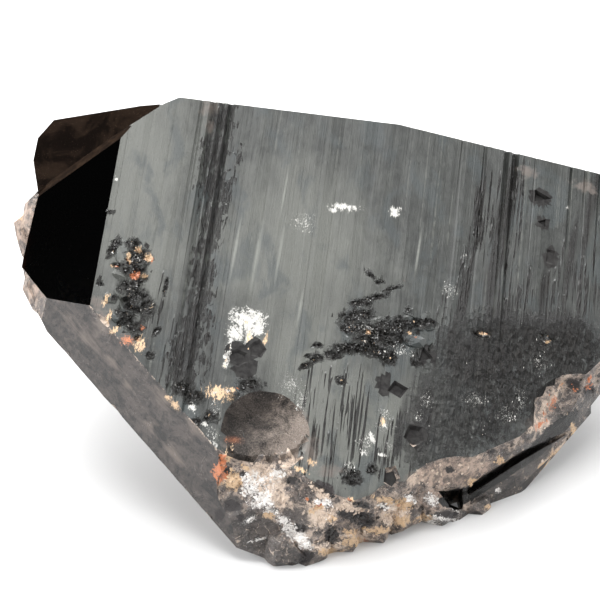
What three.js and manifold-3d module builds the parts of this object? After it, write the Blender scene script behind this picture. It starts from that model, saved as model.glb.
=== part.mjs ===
// A cluster of morion quartz: a broad tabular crystal with a striated front face, grown together
// with a slab, a brown plate, stout parallel crystals and small leaning ones behind it. Its lower
// tip is broken, and it lies on the broken ends of the crystals underneath.
//
// Crystal coordinates, in millimetres: x runs along the big crystal's long axis, away from its tip,
// y runs up the striations, and z points straight out of the broad front face, which is z = 0.
import * as THREE from 'three';
import { ConvexGeometry } from 'three/addons/geometries/ConvexGeometry.js';
import { mergeVertices } from 'three/addons/utils/BufferGeometryUtils.js';
import Module from 'manifold-3d';

const wasm = await Module();
wasm.setup();

// How the specimen lies, in degrees: the front face's tilt back, the long axis's plunge, a small yaw
const FACE_TILT = 26;
const AXIS_PLUNGE = 12;
const AXIS_YAW = -1.5;
// Depth of the resting plane below the middle of the front face
const REST_DEPTH = 30.2;

// Quartz angles in degrees: between prism faces, and from a prism face to the tip face above it
const PRISM_STEP = 60;
const TIP_LEAN = 38.2133;

// Every crystal is its faces' distances from the middle of the front face, and its broken sides,
// each of those a facing and a point on it. Face m1 is the front, m4 the back, m2 and m3 the lower
// prism faces, m5 and m6 the upper ones; r1 to r6 are the tip faces over them.
const FRONT_PLATE = {
  faces: { m1: 0, m4: 10.8, r1: 22.25, r2: 28.55, f1: 36.5 },
  upperEdge: [
    [[-0.091, 1, 0.577], [13.9, 41.7, 0]],
    [[0.054, 1, 0.577], [13.9, 41.7, 0]],
    [[-0.575, 0.718, 0.393], [-27, 37.9, 0]],
    [[-0.693, 0.604, 0.393], [-36.1, 28.3, 0]],
  ],
  chippedTip: [
    [[-0.733, 0.369, 0.586], [-43.9, 21.6, -6.7]],
    [[-0.707, 0.615, 0.321], [-44.9, 22.3, -7]],
    [[-0.857, -0.44, 0.27], [-43.8, -5.7, -6.4]],
    [[-0.8, -0.55, -0.25], [-46.9, -3.6, -9.8]],
    [[-1, 0.03, -0.1], [-48.8, 14, -10.2]],
  ],
  brokenLowerTip: [
    [[-0.144, -0.696, 0.704], [-11, -32.2, 0]],
    [[0.502, -0.804, 0.319], [13.6, -37.3, 0]],
  ],
  lowerRight: [
    [[0.536, -0.747, 0.393], [20.4, -33.8, 0]],
    [[0.742, -0.543, 0.393], [54.6, -0.6, 0]],
  ],
  farEnd: [
    [[0.9, 0.25, 0.2], [61, 20, 0]],
    [[0.8, -0.4, -0.2], [62, 4, 0]],
  ],
};

// The slab behind the lower right edge carries the plate's own facets on past its back
const LOWER_SLAB = {
  faces: { m1: -8 },
  broken: [
    [[0.536, -0.747, 0.393], [20.4, -33.65, 0]],
    [[0.742, -0.543, 0.393], [54.4, -0.6, 0]],
    [[1, 0.05, 0.35], [55.4, -11, -7.5]],
    [[-0.7, -0.7, -0.1], [30, -32, -11]],
    [[0.21, 0.05, -1], [38, -28, -14.8]],
    [[0, 1, 0], [40, 10, -10]],
  ],
};

// The brown plate that stands out behind the upper left tip
const BROWN_PLATE = {
  faces: { m1: -0.9, m4: 17.2, r1: 18, r2: 20 },
  broken: [
    [[0.02, 1, 0.1], [-48.6, 38.4, -15.4]],
    [[0.124, 1, 0.1], [-39.9, 38.2, -8.5]],
    [[-0.75, 0.6, -0.2], [-49.4, 37.6, -15]],
    [[-0.9, -0.3, -0.3], [-49.6, 23.5, -15]],
    [[1, 0, 0], [30, 0, -10]],
    [[0, -1, 0], [0, -20, -10]],
    [[0.5, 0.8, 0.3], [-4, 37, -6]],
  ],
};

// Stout crystals underneath, parallel to the plates
const STOUT_CRYSTALS = [
  {
    faces: { m1: -9, m3: 27, m4: 33, m5: 34, m6: 27, r1: 6, r2: 14, r3: 30, r4: 30, r5: 33, r6: 31 },
    broken: [
      [[1, 0.1, -0.2], [50, 10, -20]],
      [[0.6, -0.6, -0.5], [42, -8, -20]],
      [[0.62, -0.68, 0.39], [40, -12, -10]],
    ],
  },
  {
    faces: { m1: -14, m3: 22, m4: 27, m5: 38, m6: 24.5, r1: -3, r3: 31, r4: 27, r5: 40, r6: 33 },
    broken: [
      [[1, 0.2, 0], [36, 24, -20]],
      [[0.62, -0.68, 0.39], [30, -16, -12]],
    ],
  },
];

// Smaller crystals that lean out at the back, from foot to tip, in the frame of the lying cluster
const LEANING_CRYSTALS = [
  { foot: [6, 18, -17], tip: [-33, 31, -20], radius: 10.5 },
  { foot: [8, 20, -8], tip: [-27, 40, -5], radius: 7.5 },
  { foot: [12, 20, -12], tip: [33, 44, -18], radius: 9 },
  { foot: [22, 16, -20], tip: [52, 30, -23], radius: 8 },
  { foot: [-8, 10, -8], tip: [-45, 21, -3], radius: 7.5 },
  { foot: [2, 26, -10], tip: [-5, 49, -14], radius: 5 },
  { foot: [24, 22, -4], tip: [24, 47, -5], radius: 5.5 },
  { foot: [36, 14, -12], tip: [57, 30, -11], radius: 6.5 },
];
// A leaning crystal's sides and tip faces vary by these shares of its radius
const SIDE_VARIATION = [0.82, 1];
const SMALL_TIP_FACE = [0, 0.12];
const LARGE_TIP_FACE = [0.1, 0.3];

// Flakes that stand out past the plate's left edge: [x, y] round each outline, front and back z
const FLAKES = [
  {
    outline: [[-45, 21.8], [-48.7, 20.3], [-50.8, 16.6], [-50.6, 11], [-45, 6]],
    front: -10.6,
    back: -13.4,
  },
  {
    outline: [[-45, 17.5], [-50.2, 15.8], [-52.1, 12.9], [-51.1, 9.9], [-49.5, 6.4], [-45, 3]],
    front: -12,
    back: -14.2,
  },
  {
    outline: [[-43, 6.5], [-47.9, 3], [-48.2, -1.5], [-46.3, -4.4], [-38, -9]],
    front: -10,
    back: -13.2,
  },
];
const FLAKE_BEVEL = 0.6;

// The crack at the lower right, from its open end, and the black hollow beside it
const CRACK = {
  from: [34.3, -27.6, -7.2],
  to: [56.2, -7.6, -4.4],
  widths: [1.3, 0.3],
  mouthShare: 0.7,
  floorShare: 0.15,
  depth: 5,
  inward: [0.15, 0.28, -0.95],
};
const HOLLOW = {
  mouth: [[28.6, -30.1, -4.3], [33.9, -27.4, -6.4], [34.7, -29.4, -11.1], [31.5, -30.3, -8.4]],
  narrowing: 0.25,
  depth: 5.5,
  inward: [0.12, 0.45, -0.88],
};
// How far both cutters stand clear of the surface
const CUTTER_CLEARANCE = 4;

// Striations on the front face: facet widths, their tilt in degrees, steps, and the run's two ends
const FACET_WIDTH = [0.7, 2.6];
const FACET_TILT = 2.2;
const FACET_STEP = 0.06;
const FACET_GAP = 0.04;
const STRIATED_RUN = [-46, 78];
// Troughs along y where growth sectors meet, deepest at the top and running out at the low end:
// [middle x, half width, depth, low end y]
const TROUGHS = [
  [-22.6, 1.1, 0.5, -55],
  [-20.6, 1.6, 1.0, -60],
  [-18.9, 1.2, 0.8, -50],
  [-17.3, 1.3, 1.2, -60],
  [26.2, 0.9, 0.4, -14],
  [30.6, 1.0, 0.6, -16],
  [34.4, 1.2, 0.9, -10],
  [36.2, 1.5, 1.3, -8],
  [40.2, 0.7, 0.4, 6],
  [46.8, 0.6, 0.5, 4],
  [49.6, 0.8, 0.5, 0],
  [52.4, 0.7, 0.6, 4],
  [55.3, 0.9, 0.6, 0],
];
const TROUGH_TOP = 46;
const TROUGH_SKEW = 0.2;

// Etch pits in the front face: [x, y, radius, depth, sides, turn in degrees, stretch along y]
const ETCH_PITS = [
  [41.4, 32.0, 2.0, 0.9, 3, 90, 0.75],
  [42.3, 26.4, 1.0, 0.45, 3, -90, 1.0],
  [44.2, 19.3, 1.1, 0.35, 4, 40, 2.0],
  [19.0, -14.2, 1.9, 0.6, 4, 20, 0.9],
  [23.2, -6.3, 1.5, 0.6, 3, 80, 1.2],
  [19.6, -31.4, 1.5, 0.8, 5, 90, 1.5],
  [22.8, -22.6, 1.9, 0.6, 5, 0, 1.2],
  [-9.4, -14.6, 2.1, 0.5, 6, 10, 1.2],
  [-6.2, -11.8, 1.6, 0.4, 5, 30, 1.5],
  [-31.6, 1.8, 1.2, 0.5, 4, 60, 2.2],
];
const PIT_FLOOR = 0.7;

// Shell-shaped scoops where pieces have spalled off: the round scar on the front face first
const SPALLS = [
  { at: [-3.1, -27.0, 0], radius: 15.5, depth: 1.9, facing: [0.02, -0.18, 1] },
  { at: [28.5, -29.5, -1.5], radius: 15, depth: 2.1, facing: [0.45, -0.7, 0.62] },
  { at: [46.6, -9.4, -0.3], radius: 11, depth: 2.0, facing: [0.7, -0.5, 0.6] },
  { at: [21.5, -34.2, -1], radius: 8, depth: 1.4, facing: [0.2, -0.7, 0.6] },
  { at: [2.0, -42.8, -7.8], radius: 11, depth: 1.3, facing: [-0.1, -0.62, 0.78] },
  { at: [-6.0, -38.5, -5.0], radius: 7, depth: 1.2, facing: [-0.4, -0.6, 0.7] },
  { at: [5.5, -40.5, -4.4], radius: 10, depth: 1.3, facing: [0, -0.6, 0.8] },
  { at: [11.5, -43.0, -5.5], radius: 4.5, depth: 1.6, facing: [0.2, -0.7, 0.66] },
  { at: [16.5, -40.5, -6.5], radius: 8, depth: 1.2, facing: [0.5, -0.7, 0.5] },
  { at: [24.5, -37.0, -8.0], radius: 6, depth: 1.2, facing: [0.5, -0.7, 0.5] },
  { at: [-8.9, -42.6, -9.0], radius: 8, depth: 0.7, facing: [-0.6, -0.75, 0.3] },
  { at: [57.5, -3.0, -4.0], radius: 16, depth: 1.6, facing: [0.85, -0.4, 0.3] },
  { at: [63.0, 12.0, -6.0], radius: 30, depth: 2.2, facing: [1, 0.1, 0.2] },
  { at: [60.5, 27.0, -5.0], radius: 20, depth: 1.6, facing: [0.9, 0.4, 0.1] },
  { at: [50.5, 8.0, -20.0], radius: 26, depth: 2.2, facing: [1, 0, -0.2] },
  { at: [-33.5, -11.8, 0], radius: 5, depth: 0.5, facing: [-0.3, -0.35, 0.8] },
];

// Rough knobs fused to the broken lower edge: [x, y, z, radius]
const EDGE_KNOBS = [
  [28.4, -29.4, -10.2, 5.2],
  [33.2, -28.0, -11.8, 4.6],
  [36.6, -27.4, -12.4, 3.4],
  [22.8, -32.0, -9.8, 4.6],
  [17.8, -35.2, -9.4, 4.8],
  [12.8, -38.2, -9.6, 5.0],
  [8.0, -41.6, -10.2, 4.6],
  [4.6, -43.2, -10.2, 4.0],
  [-8.0, -31.4, -4.0, 3.6],
  [-7.2, -34.0, -6.0, 3.6],
  [2.2, -34.4, -4.6, 3.9],
  [9.7, -35.0, -5.4, 4.1],
  [15.8, -34.6, -5.6, 4.1],
  [50.2, -2.6, -4.4, 3.6],
  [53.2, 1.8, -4.2, 3.4],
];

// Crusts of small crystals on the front face: middle, half widths, how many, and their sizes
const CRUSTS = [
  { x: -30.5, y: -2.5, acrossX: 3.2, alongY: 8.0, count: 18, size: [1.2, 2.0] },
  { x: 14.5, y: -4.0, acrossX: 7.2, alongY: 3.2, count: 22, size: [1.2, 2.1] },
  { x: 20.5, y: 0.6, acrossX: 4.0, alongY: 1.4, count: 7, size: [0.9, 1.5] },
];
const CRUST_HEIGHT = 0.28;
const LUMP_CORNERS = 22;
const LUMP_STRETCH = [0.85, 1.15];
const SCOOP_DETAIL = 7;
const RANDOM_SEED = 29;
// The side of the block below the resting plane, wider than the cluster, and the modelling tolerance
const GROUND_SIZE = 240;
const TOLERANCE = 1e-4;

const degrees = THREE.MathUtils.degToRad;
const vector = (list) => new THREE.Vector3(...list);
const attitude = new THREE.Euler(degrees(FACE_TILT), degrees(AXIS_PLUNGE), degrees(AXIS_YAW), 'ZYX');
const lying = new THREE.Matrix4().makeRotationFromEuler(attitude);
const unlying = lying.clone().invert();

// A repeatable random number between two limits
let randomState = RANDOM_SEED;
function between(low, high) {
  randomState = (randomState * 1664525 + 1013904223) % 4294967296;
  return low + (high - low) * (randomState / 4294967296);
}

// A face's outward direction from its name: m for a prism face, r for a face of the tip at low x
// and f for one of the far end. The number is the prism face it stands over, with 1 at the front.
function faceNormal(name) {
  const turn = degrees(PRISM_STEP * (Number(name[1]) - 1));
  const normal = new THREE.Vector3(0, -Math.sin(turn), Math.cos(turn));
  if (name[0] === 'm') return normal;
  const lean = degrees(TIP_LEAN);
  const along = new THREE.Vector3(name[0] === 'r' ? -1 : 1, 0, 0);
  return normal.multiplyScalar(Math.cos(lean)).addScaledVector(along, Math.sin(lean));
}

const facePlane = ([name, distance]) => new THREE.Plane(faceNormal(name), -distance);
const brokenPlane = ([facing, through]) => (
  new THREE.Plane().setFromNormalAndCoplanarPoint(vector(facing).normalize(), vector(through)));

// A geometry as a solid, and a solid as a geometry
function solidOf(geometry) {
  const bare = geometry.clone();
  for (const name of Object.keys(bare.attributes)) {
    if (name !== 'position') bare.deleteAttribute(name);
  }
  const merged = mergeVertices(bare, TOLERANCE / 10);
  return new wasm.Manifold(new wasm.Mesh({
    numProp: 3,
    vertProperties: new Float32Array(merged.attributes.position.array),
    triVerts: new Uint32Array(merged.index.array),
  }));
}

function geometryOf(solid) {
  const mesh = solid.getMesh();
  const geometry = new THREE.BufferGeometry();
  geometry.setAttribute('position', new THREE.BufferAttribute(new Float32Array(mesh.vertProperties), 3));
  geometry.setIndex(new THREE.BufferAttribute(new Uint32Array(mesh.triVerts), 1));
  return geometry;
}

// The point that three planes share, or null where two of them run alike
function meetingPoint(a, b, c) {
  const bCrossC = new THREE.Vector3().crossVectors(b.normal, c.normal);
  const volume = a.normal.dot(bCrossC);
  if (Math.abs(volume) < TOLERANCE) return null;
  const cCrossA = new THREE.Vector3().crossVectors(c.normal, a.normal);
  const aCrossB = new THREE.Vector3().crossVectors(a.normal, b.normal);
  return new THREE.Vector3()
    .addScaledVector(bCrossC, -a.constant)
    .addScaledVector(cCrossA, -b.constant)
    .addScaledVector(aCrossB, -c.constant)
    .divideScalar(volume);
}

// The convex solid inside a set of planes
function insidePlanes(planes) {
  const corners = [];
  for (let i = 0; i < planes.length; i += 1) {
    for (let j = i + 1; j < planes.length; j += 1) {
      for (let k = j + 1; k < planes.length; k += 1) {
        const point = meetingPoint(planes[i], planes[j], planes[k]);
        if (point && planes.every((plane) => plane.distanceToPoint(point) < TOLERANCE)) corners.push(point);
      }
    }
  }
  return solidOf(new ConvexGeometry(corners));
}

const crystal = ({ faces, broken }) => (
  insidePlanes([...Object.entries(faces).map(facePlane), ...broken.map(brokenPlane)]));

// A ball that cuts a shallow round scoop into the surface at a point
function scoop({ at, facing, radius, depth }) {
  const ball = new THREE.IcosahedronGeometry(radius, SCOOP_DETAIL);
  const centre = vector(at).addScaledVector(vector(facing).normalize(), radius - depth);
  return solidOf(ball.translate(centre.x, centre.y, centre.z));
}

// An angular stone with flat sides
function lump(at, radius, flatness = 1) {
  const stretch = vector([between(...LUMP_STRETCH), between(...LUMP_STRETCH), flatness]);
  const corners = [];
  for (let i = 0; i < LUMP_CORNERS; i += 1) {
    const direction = vector([between(-1, 1), between(-1, 1), between(-1, 1)]).normalize();
    corners.push(direction.multiplyScalar(radius).multiply(stretch).add(vector(at)));
  }
  return solidOf(new ConvexGeometry(corners));
}

// The striated front: long facets along y, each tilted a little, with steps between them
function striatedBlock() {
  const [start, end] = STRIATED_RUN;
  const reach = end - start;
  const shape = new THREE.Shape();
  shape.moveTo(start - reach, -reach);
  shape.lineTo(start - reach, 0);
  for (let x = start; x < end; x += FACET_GAP) {
    const width = between(...FACET_WIDTH);
    const rise = width * Math.tan(degrees(between(-FACET_TILT, FACET_TILT)));
    const level = -Math.abs(rise) - between(0, FACET_STEP);
    shape.lineTo(x, level - rise / 2);
    shape.lineTo(x + width, level + rise / 2);
    x += width;
  }
  shape.lineTo(end + reach, 0);
  shape.lineTo(end + reach, -reach);
  // The shape's x and height become x and z, and the extrusion runs along y
  const block = new THREE.ExtrudeGeometry(shape, { depth: 2 * reach, bevelEnabled: false });
  return solidOf(block.translate(0, 0, -reach).rotateX(Math.PI / 2));
}

// A V-shaped trough that rises out of the front face at its low end
function trough([x, halfWidth, depth, low]) {
  const bottom = x + between(-TROUGH_SKEW, TROUGH_SKEW) * halfWidth;
  return solidOf(new ConvexGeometry([
    new THREE.Vector3(x - halfWidth, TROUGH_TOP, depth),
    new THREE.Vector3(x + halfWidth, TROUGH_TOP, depth),
    new THREE.Vector3(bottom, TROUGH_TOP, -depth),
    new THREE.Vector3(x - halfWidth, low, depth),
    new THREE.Vector3(x + halfWidth, low, depth),
    new THREE.Vector3(bottom, low, 0),
  ]));
}

// An etch pit with straight sides that narrow towards its floor
function etchPit([x, y, radius, depth, sides, turn, stretch]) {
  const cone = new THREE.CylinderGeometry(radius / PIT_FLOOR, radius * PIT_FLOOR, depth * 2, sides);
  cone.rotateX(Math.PI / 2).rotateZ(degrees(turn)).scale(1, stretch, 1);
  return solidOf(cone.translate(x, y, 0));
}

// The front plate with its broken lower tip
function frontPlate() {
  const { faces, upperEdge, chippedTip, brokenLowerTip, lowerRight, farEnd } = FRONT_PLATE;
  const broken = [...upperEdge, ...chippedTip, ...brokenLowerTip, ...lowerRight, ...farEnd];
  return crystal({ faces, broken }).intersect(striatedBlock());
}

// A crystal of its own lean: six prism faces, a pointed tip and a foot buried in the cluster
function leaningCrystal({ foot, tip, radius }) {
  const axis = vector(tip).sub(vector(foot));
  const length = axis.length();
  const lean = degrees(TIP_LEAN);
  const planes = [new THREE.Plane(new THREE.Vector3(0, 0, -1), 0)];
  for (let side = 0; side < 6; side += 1) {
    const turn = degrees(PRISM_STEP * side);
    const outward = new THREE.Vector3(Math.cos(turn), Math.sin(turn), 0);
    planes.push(new THREE.Plane(outward, -radius * between(...SIDE_VARIATION)));
    const setBack = radius * between(...(side % 2 ? SMALL_TIP_FACE : LARGE_TIP_FACE));
    const tipFace = outward.clone().multiplyScalar(Math.cos(lean)).setZ(Math.sin(lean));
    planes.push(new THREE.Plane(tipFace, -(length - setBack) * Math.sin(lean)));
  }
  const turned = new THREE.Quaternion().setFromUnitVectors(new THREE.Vector3(0, 0, 1), axis.normalize());
  const placed = new THREE.Matrix4().compose(vector(foot), turned, new THREE.Vector3(1, 1, 1));
  return insidePlanes(planes.map((plane) => plane.applyMatrix4(placed).applyMatrix4(unlying)));
}

// A thin flake with a bevelled rim
function flake({ outline, front, back }) {
  const corners = outline.flatMap(([x, y]) => [
    new THREE.Vector3(x + FLAKE_BEVEL, y, front),
    new THREE.Vector3(x, y, (front + back) / 2),
    new THREE.Vector3(x + FLAKE_BEVEL, y, back),
  ]);
  return solidOf(new ConvexGeometry(corners));
}

// The crack between plate and slab: a wedge that narrows from its open end and runs in at a slant
function crack() {
  const inward = vector(CRACK.inward).normalize();
  const along = vector(CRACK.to).sub(vector(CRACK.from)).normalize();
  const across = new THREE.Vector3().crossVectors(along, inward).normalize();
  const corners = [];
  for (const [end, width] of [[CRACK.from, CRACK.widths[0]], [CRACK.to, CRACK.widths[1]]]) {
    for (const side of [-width, width]) {
      const mouth = vector(end).addScaledVector(across, side * CRACK.mouthShare);
      corners.push(mouth.addScaledVector(inward, -CUTTER_CLEARANCE));
      const floor = vector(end).addScaledVector(across, side * CRACK.floorShare);
      corners.push(floor.addScaledVector(inward, CRACK.depth));
    }
  }
  return solidOf(new ConvexGeometry(corners));
}

// The black hollow at the crack's open end, a pit that narrows as it runs in
function hollow() {
  const inward = vector(HOLLOW.inward).normalize();
  const corners = HOLLOW.mouth.flatMap((corner) => [
    vector(corner).addScaledVector(inward, -CUTTER_CLEARANCE),
    vector(corner).lerp(vector(HOLLOW.mouth[0]), HOLLOW.narrowing).addScaledVector(inward, HOLLOW.depth),
  ]);
  return solidOf(new ConvexGeometry(corners));
}

// A crust's crystals, strewn over its oval and sunk halfway into the face
function crust({ x, y, acrossX, alongY, count, size }) {
  const stones = [];
  for (let i = 0; i < count; i += 1) {
    const turn = between(0, 2 * Math.PI);
    const reach = Math.sqrt(between(0, 1));
    const at = [x + acrossX * reach * Math.cos(turn), y + alongY * reach * Math.sin(turn), 0];
    stones.push(lump(at, between(...size), CRUST_HEIGHT));
  }
  return stones;
}

// Everything below the resting plane
function ground() {
  const block = new THREE.BoxGeometry(GROUND_SIZE, GROUND_SIZE, GROUND_SIZE);
  block.translate(0, 0, -REST_DEPTH - GROUND_SIZE / 2);
  return solidOf(block.applyMatrix4(unlying));
}

// The whole cluster, grown together, broken and set on its resting plane
function cluster() {
  const plates = [frontPlate(), crystal(LOWER_SLAB), crystal(BROWN_PLATE), ...FLAKES.map(flake)];
  const grown = [...plates, ...STOUT_CRYSTALS.map(crystal), ...LEANING_CRYSTALS.map(leaningCrystal)];
  const cuts = [...TROUGHS.map(trough), ...ETCH_PITS.map(etchPit), ...SPALLS.map(scoop)];
  const knobs = EDGE_KNOBS.map(([x, y, z, radius]) => lump([x, y, z], radius));
  let solid = grown.reduce((whole, piece) => whole.add(piece));
  solid = cuts.reduce((whole, cut) => whole.subtract(cut), solid);
  solid = knobs.reduce((whole, knob) => whole.add(knob), solid);
  solid = solid.subtract(crack()).subtract(hollow());
  solid = CRUSTS.flatMap(crust).reduce((whole, stone) => whole.add(stone), solid);
  return solid.subtract(ground());
}

const morion = new THREE.MeshStandardMaterial({ color: 0x1c1714, roughness: 0.22, metalness: 0 });
const quartz = new THREE.Mesh(geometryOf(cluster()), morion);
quartz.name = 'quartz_cluster';
quartz.rotation.copy(attitude);

// The origin is the middle of the underside of the cluster's bounding box
const group = new THREE.Group();
group.add(quartz);
const bounds = new THREE.Box3().setFromObject(quartz, true);
const middle = bounds.getCenter(new THREE.Vector3());
quartz.position.set(-middle.x, -middle.y, -bounds.min.z);

export default group;
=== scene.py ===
"""Gives a morion quartz cluster its looks: striated faces, clear tips, broken quartz and crusts.

Marks on the crystal are placed in crystal coordinates, in millimetres: x runs along the big
crystal's long axis, away from its tip, y runs up the striations, and z points straight out of
the broad front face, whose middle is the origin.
"""

import math

import bpy
import numpy as np
from mathutils import Euler, Matrix, Vector


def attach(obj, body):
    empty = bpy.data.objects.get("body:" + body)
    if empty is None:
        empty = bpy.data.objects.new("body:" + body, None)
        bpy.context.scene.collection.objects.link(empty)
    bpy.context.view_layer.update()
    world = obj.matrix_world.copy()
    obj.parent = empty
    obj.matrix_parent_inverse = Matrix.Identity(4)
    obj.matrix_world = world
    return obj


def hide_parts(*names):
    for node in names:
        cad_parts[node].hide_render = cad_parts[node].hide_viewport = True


bl_info = {
    "name": "Morion quartz cluster",
    "version": (1, 0, 0),
    "blender": (4, 5, 0),
    "location": "View3D > Sidebar > Morion",
    "description": "Dresses the solid of a morion quartz cluster and lights it as in a studio",
    "category": "Object",
}

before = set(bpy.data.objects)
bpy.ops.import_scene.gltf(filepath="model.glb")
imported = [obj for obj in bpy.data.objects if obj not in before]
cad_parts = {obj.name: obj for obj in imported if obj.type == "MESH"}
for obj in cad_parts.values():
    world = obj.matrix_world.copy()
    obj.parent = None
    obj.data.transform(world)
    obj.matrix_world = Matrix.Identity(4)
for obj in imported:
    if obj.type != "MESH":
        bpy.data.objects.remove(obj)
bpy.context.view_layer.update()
NODE = "quartz_cluster"
MM = 0.001
QUARTZ_IOR = 1.544

# How the crystal lies: the middle of its front face in the part's frame, and its attitude
FACE_MIDDLE = Vector((-5.041, -5.046, 30.2)) * MM
ATTITUDE = Euler((math.radians(26), math.radians(12), math.radians(-1.5)), "XYZ")
AXES = np.array(ATTITUDE.to_matrix())

# Marks lie where lines from this point, in crystal coordinates, meet the front face's plane
VIEWPOINT = np.array((-42.8, -252.1, 400.3))

# Quartz angles, and the tip faces' distances from the middle of the front face
PRISM_STEP = math.radians(60)
TIP_LEAN = math.radians(38.2133)
BLACK_TIP_DISTANCE = 22.25
LOWER_TIP_DISTANCE = 28.55
BROWN_PLATE_DISTANCE = 18.0
SAME_FACE = 0.12
SAME_DIRECTION = 0.999

# The big crystal's upper side faces lie farther out than this, in these directions
UPPER_SIDE = np.array((0.05, 0.87, 0.5))
UPPER_SIDE_DISTANCE = 33.5
UPPER_CORNER = np.array((-0.71, 0.62, 0.32))
UPPER_CORNER_DISTANCE = 41.5

# The depths that the front face's grooves, and the etched ground inside it, reach down to
GROOVE_DEPTH = 1.7
ETCHED_DEPTH = 2.4

# The round scar: its middle, its half width, its depth, and how far it is moved up the face; the
# face round it moves along, out to some half widths, and not beyond a distance from the middle
SCAR = (-3.1, -26.8, 7.7)
SCAR_DEPTH = 2.2
SCAR_RISE = 2.3
SCAR_REACH = 2.05
SCAR_LIMIT = 27.9

# The crack beside the slab: x, y and z of its two ends, and its half width
CRACK_START = (31.0, -29.6, -9.4)
CRACK_END = (55.0, -8.1, -4.8)
CRACK_WIDTH = 2.6

# The root of the white crust's rays on the front face, and how far they reach
FAN_ROOT = (-8.4, -10.2)
FAN_REACH = (7.0, 9.0)

# Where the broken far end begins, along the crystal
END_BREAK = 56.0

# The longest edges wanted on the refined crystal, in millimetres
COARSE_EDGE = 4.0
REAR_EDGE = 3.0
FACE_EDGE = 1.5
BROKEN_EDGE = 0.72
MARK_EDGE = 0.48
SPLIT_ROUNDS = 8
SMOOTH_ANGLE = math.radians(13)

# Layers of the broken relief: texture, grain in millimetres, share of the whole height, and the
# level that stays where it is; and the grain of the etched relief
BROKEN_RELIEF = (("VORONOI", 3.4, 1.1, 0.62), ("CLOUDS", 1.7, 0.6, 0.55), ("VORONOI", 0.9, 0.3, 0.55))
CLOUD_DEPTH = 3
ETCHED_GRAIN = 0.8

# Strewn stones: the smallest and largest radius in millimetres, how deep they sit and how far
# they lean, as shares of their radius, and their form; and the seeds of their random draws
EDGE_STONES = ((0.1, 0.55), 0.5, 0.5, (1, 1, 0.7))
CRUST_POINTS = ((0.07, 0.34), 0.15, 0.6, (1, 1, 0.8))
THIN_FLAKES = ((0.04, 0.13), 0.5, 0.15, (1, 3.0, 0.5))
STONE_KINDS = 6
EDGE_SEED = 7
CRUST_SEED = 11
FLAKE_SEED = 19

# The camera's place from the middle of the front face, in metres, and its lens
CAMERA_OFFSET = Vector((-0.00054, -0.40221, 0.25269))
LENS = 162.0
SENSOR = 36.0
NEAREST = 0.01

# The studio's lights: their place and target, and their width and height, in metres
OVERHEAD = ((-0.06, 0.2, 0.94), (0, 0, 0), 0.86, 0.8)
LEFT = ((-1.0, -0.35, 0.6), (0, 0, 0.02), 1.8, 0.9)
RIGHT = ((1.0, -0.1, 0.6), (0, 0, 0.02), 1.8, 0.9)
BACK = ((-0.15, 1.1, 0.95), (0, 0, 0), 1.6, 1.0)
FLOOR_GREY = 0.58
WORLD_GLOW = 0.02

# Pale strips of the front face: middle, half width, half length and a turn in degrees
PALE_STRIPS = [
    ((-12.6, 8.3), 0.42, 9.4, -1.5), ((-8.7, 7.3), 0.62, 10.2, -1.5), ((-4.7, 9.2), 0.4, 9.6, -1.5),
    ((-5.4, 22.0), 0.3, 8.0, -1.5), ((0.2, -1.6), 0.4, 5.4, -2.0), ((20.0, 14.7), 0.35, 7.0, -2.0),
]

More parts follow.
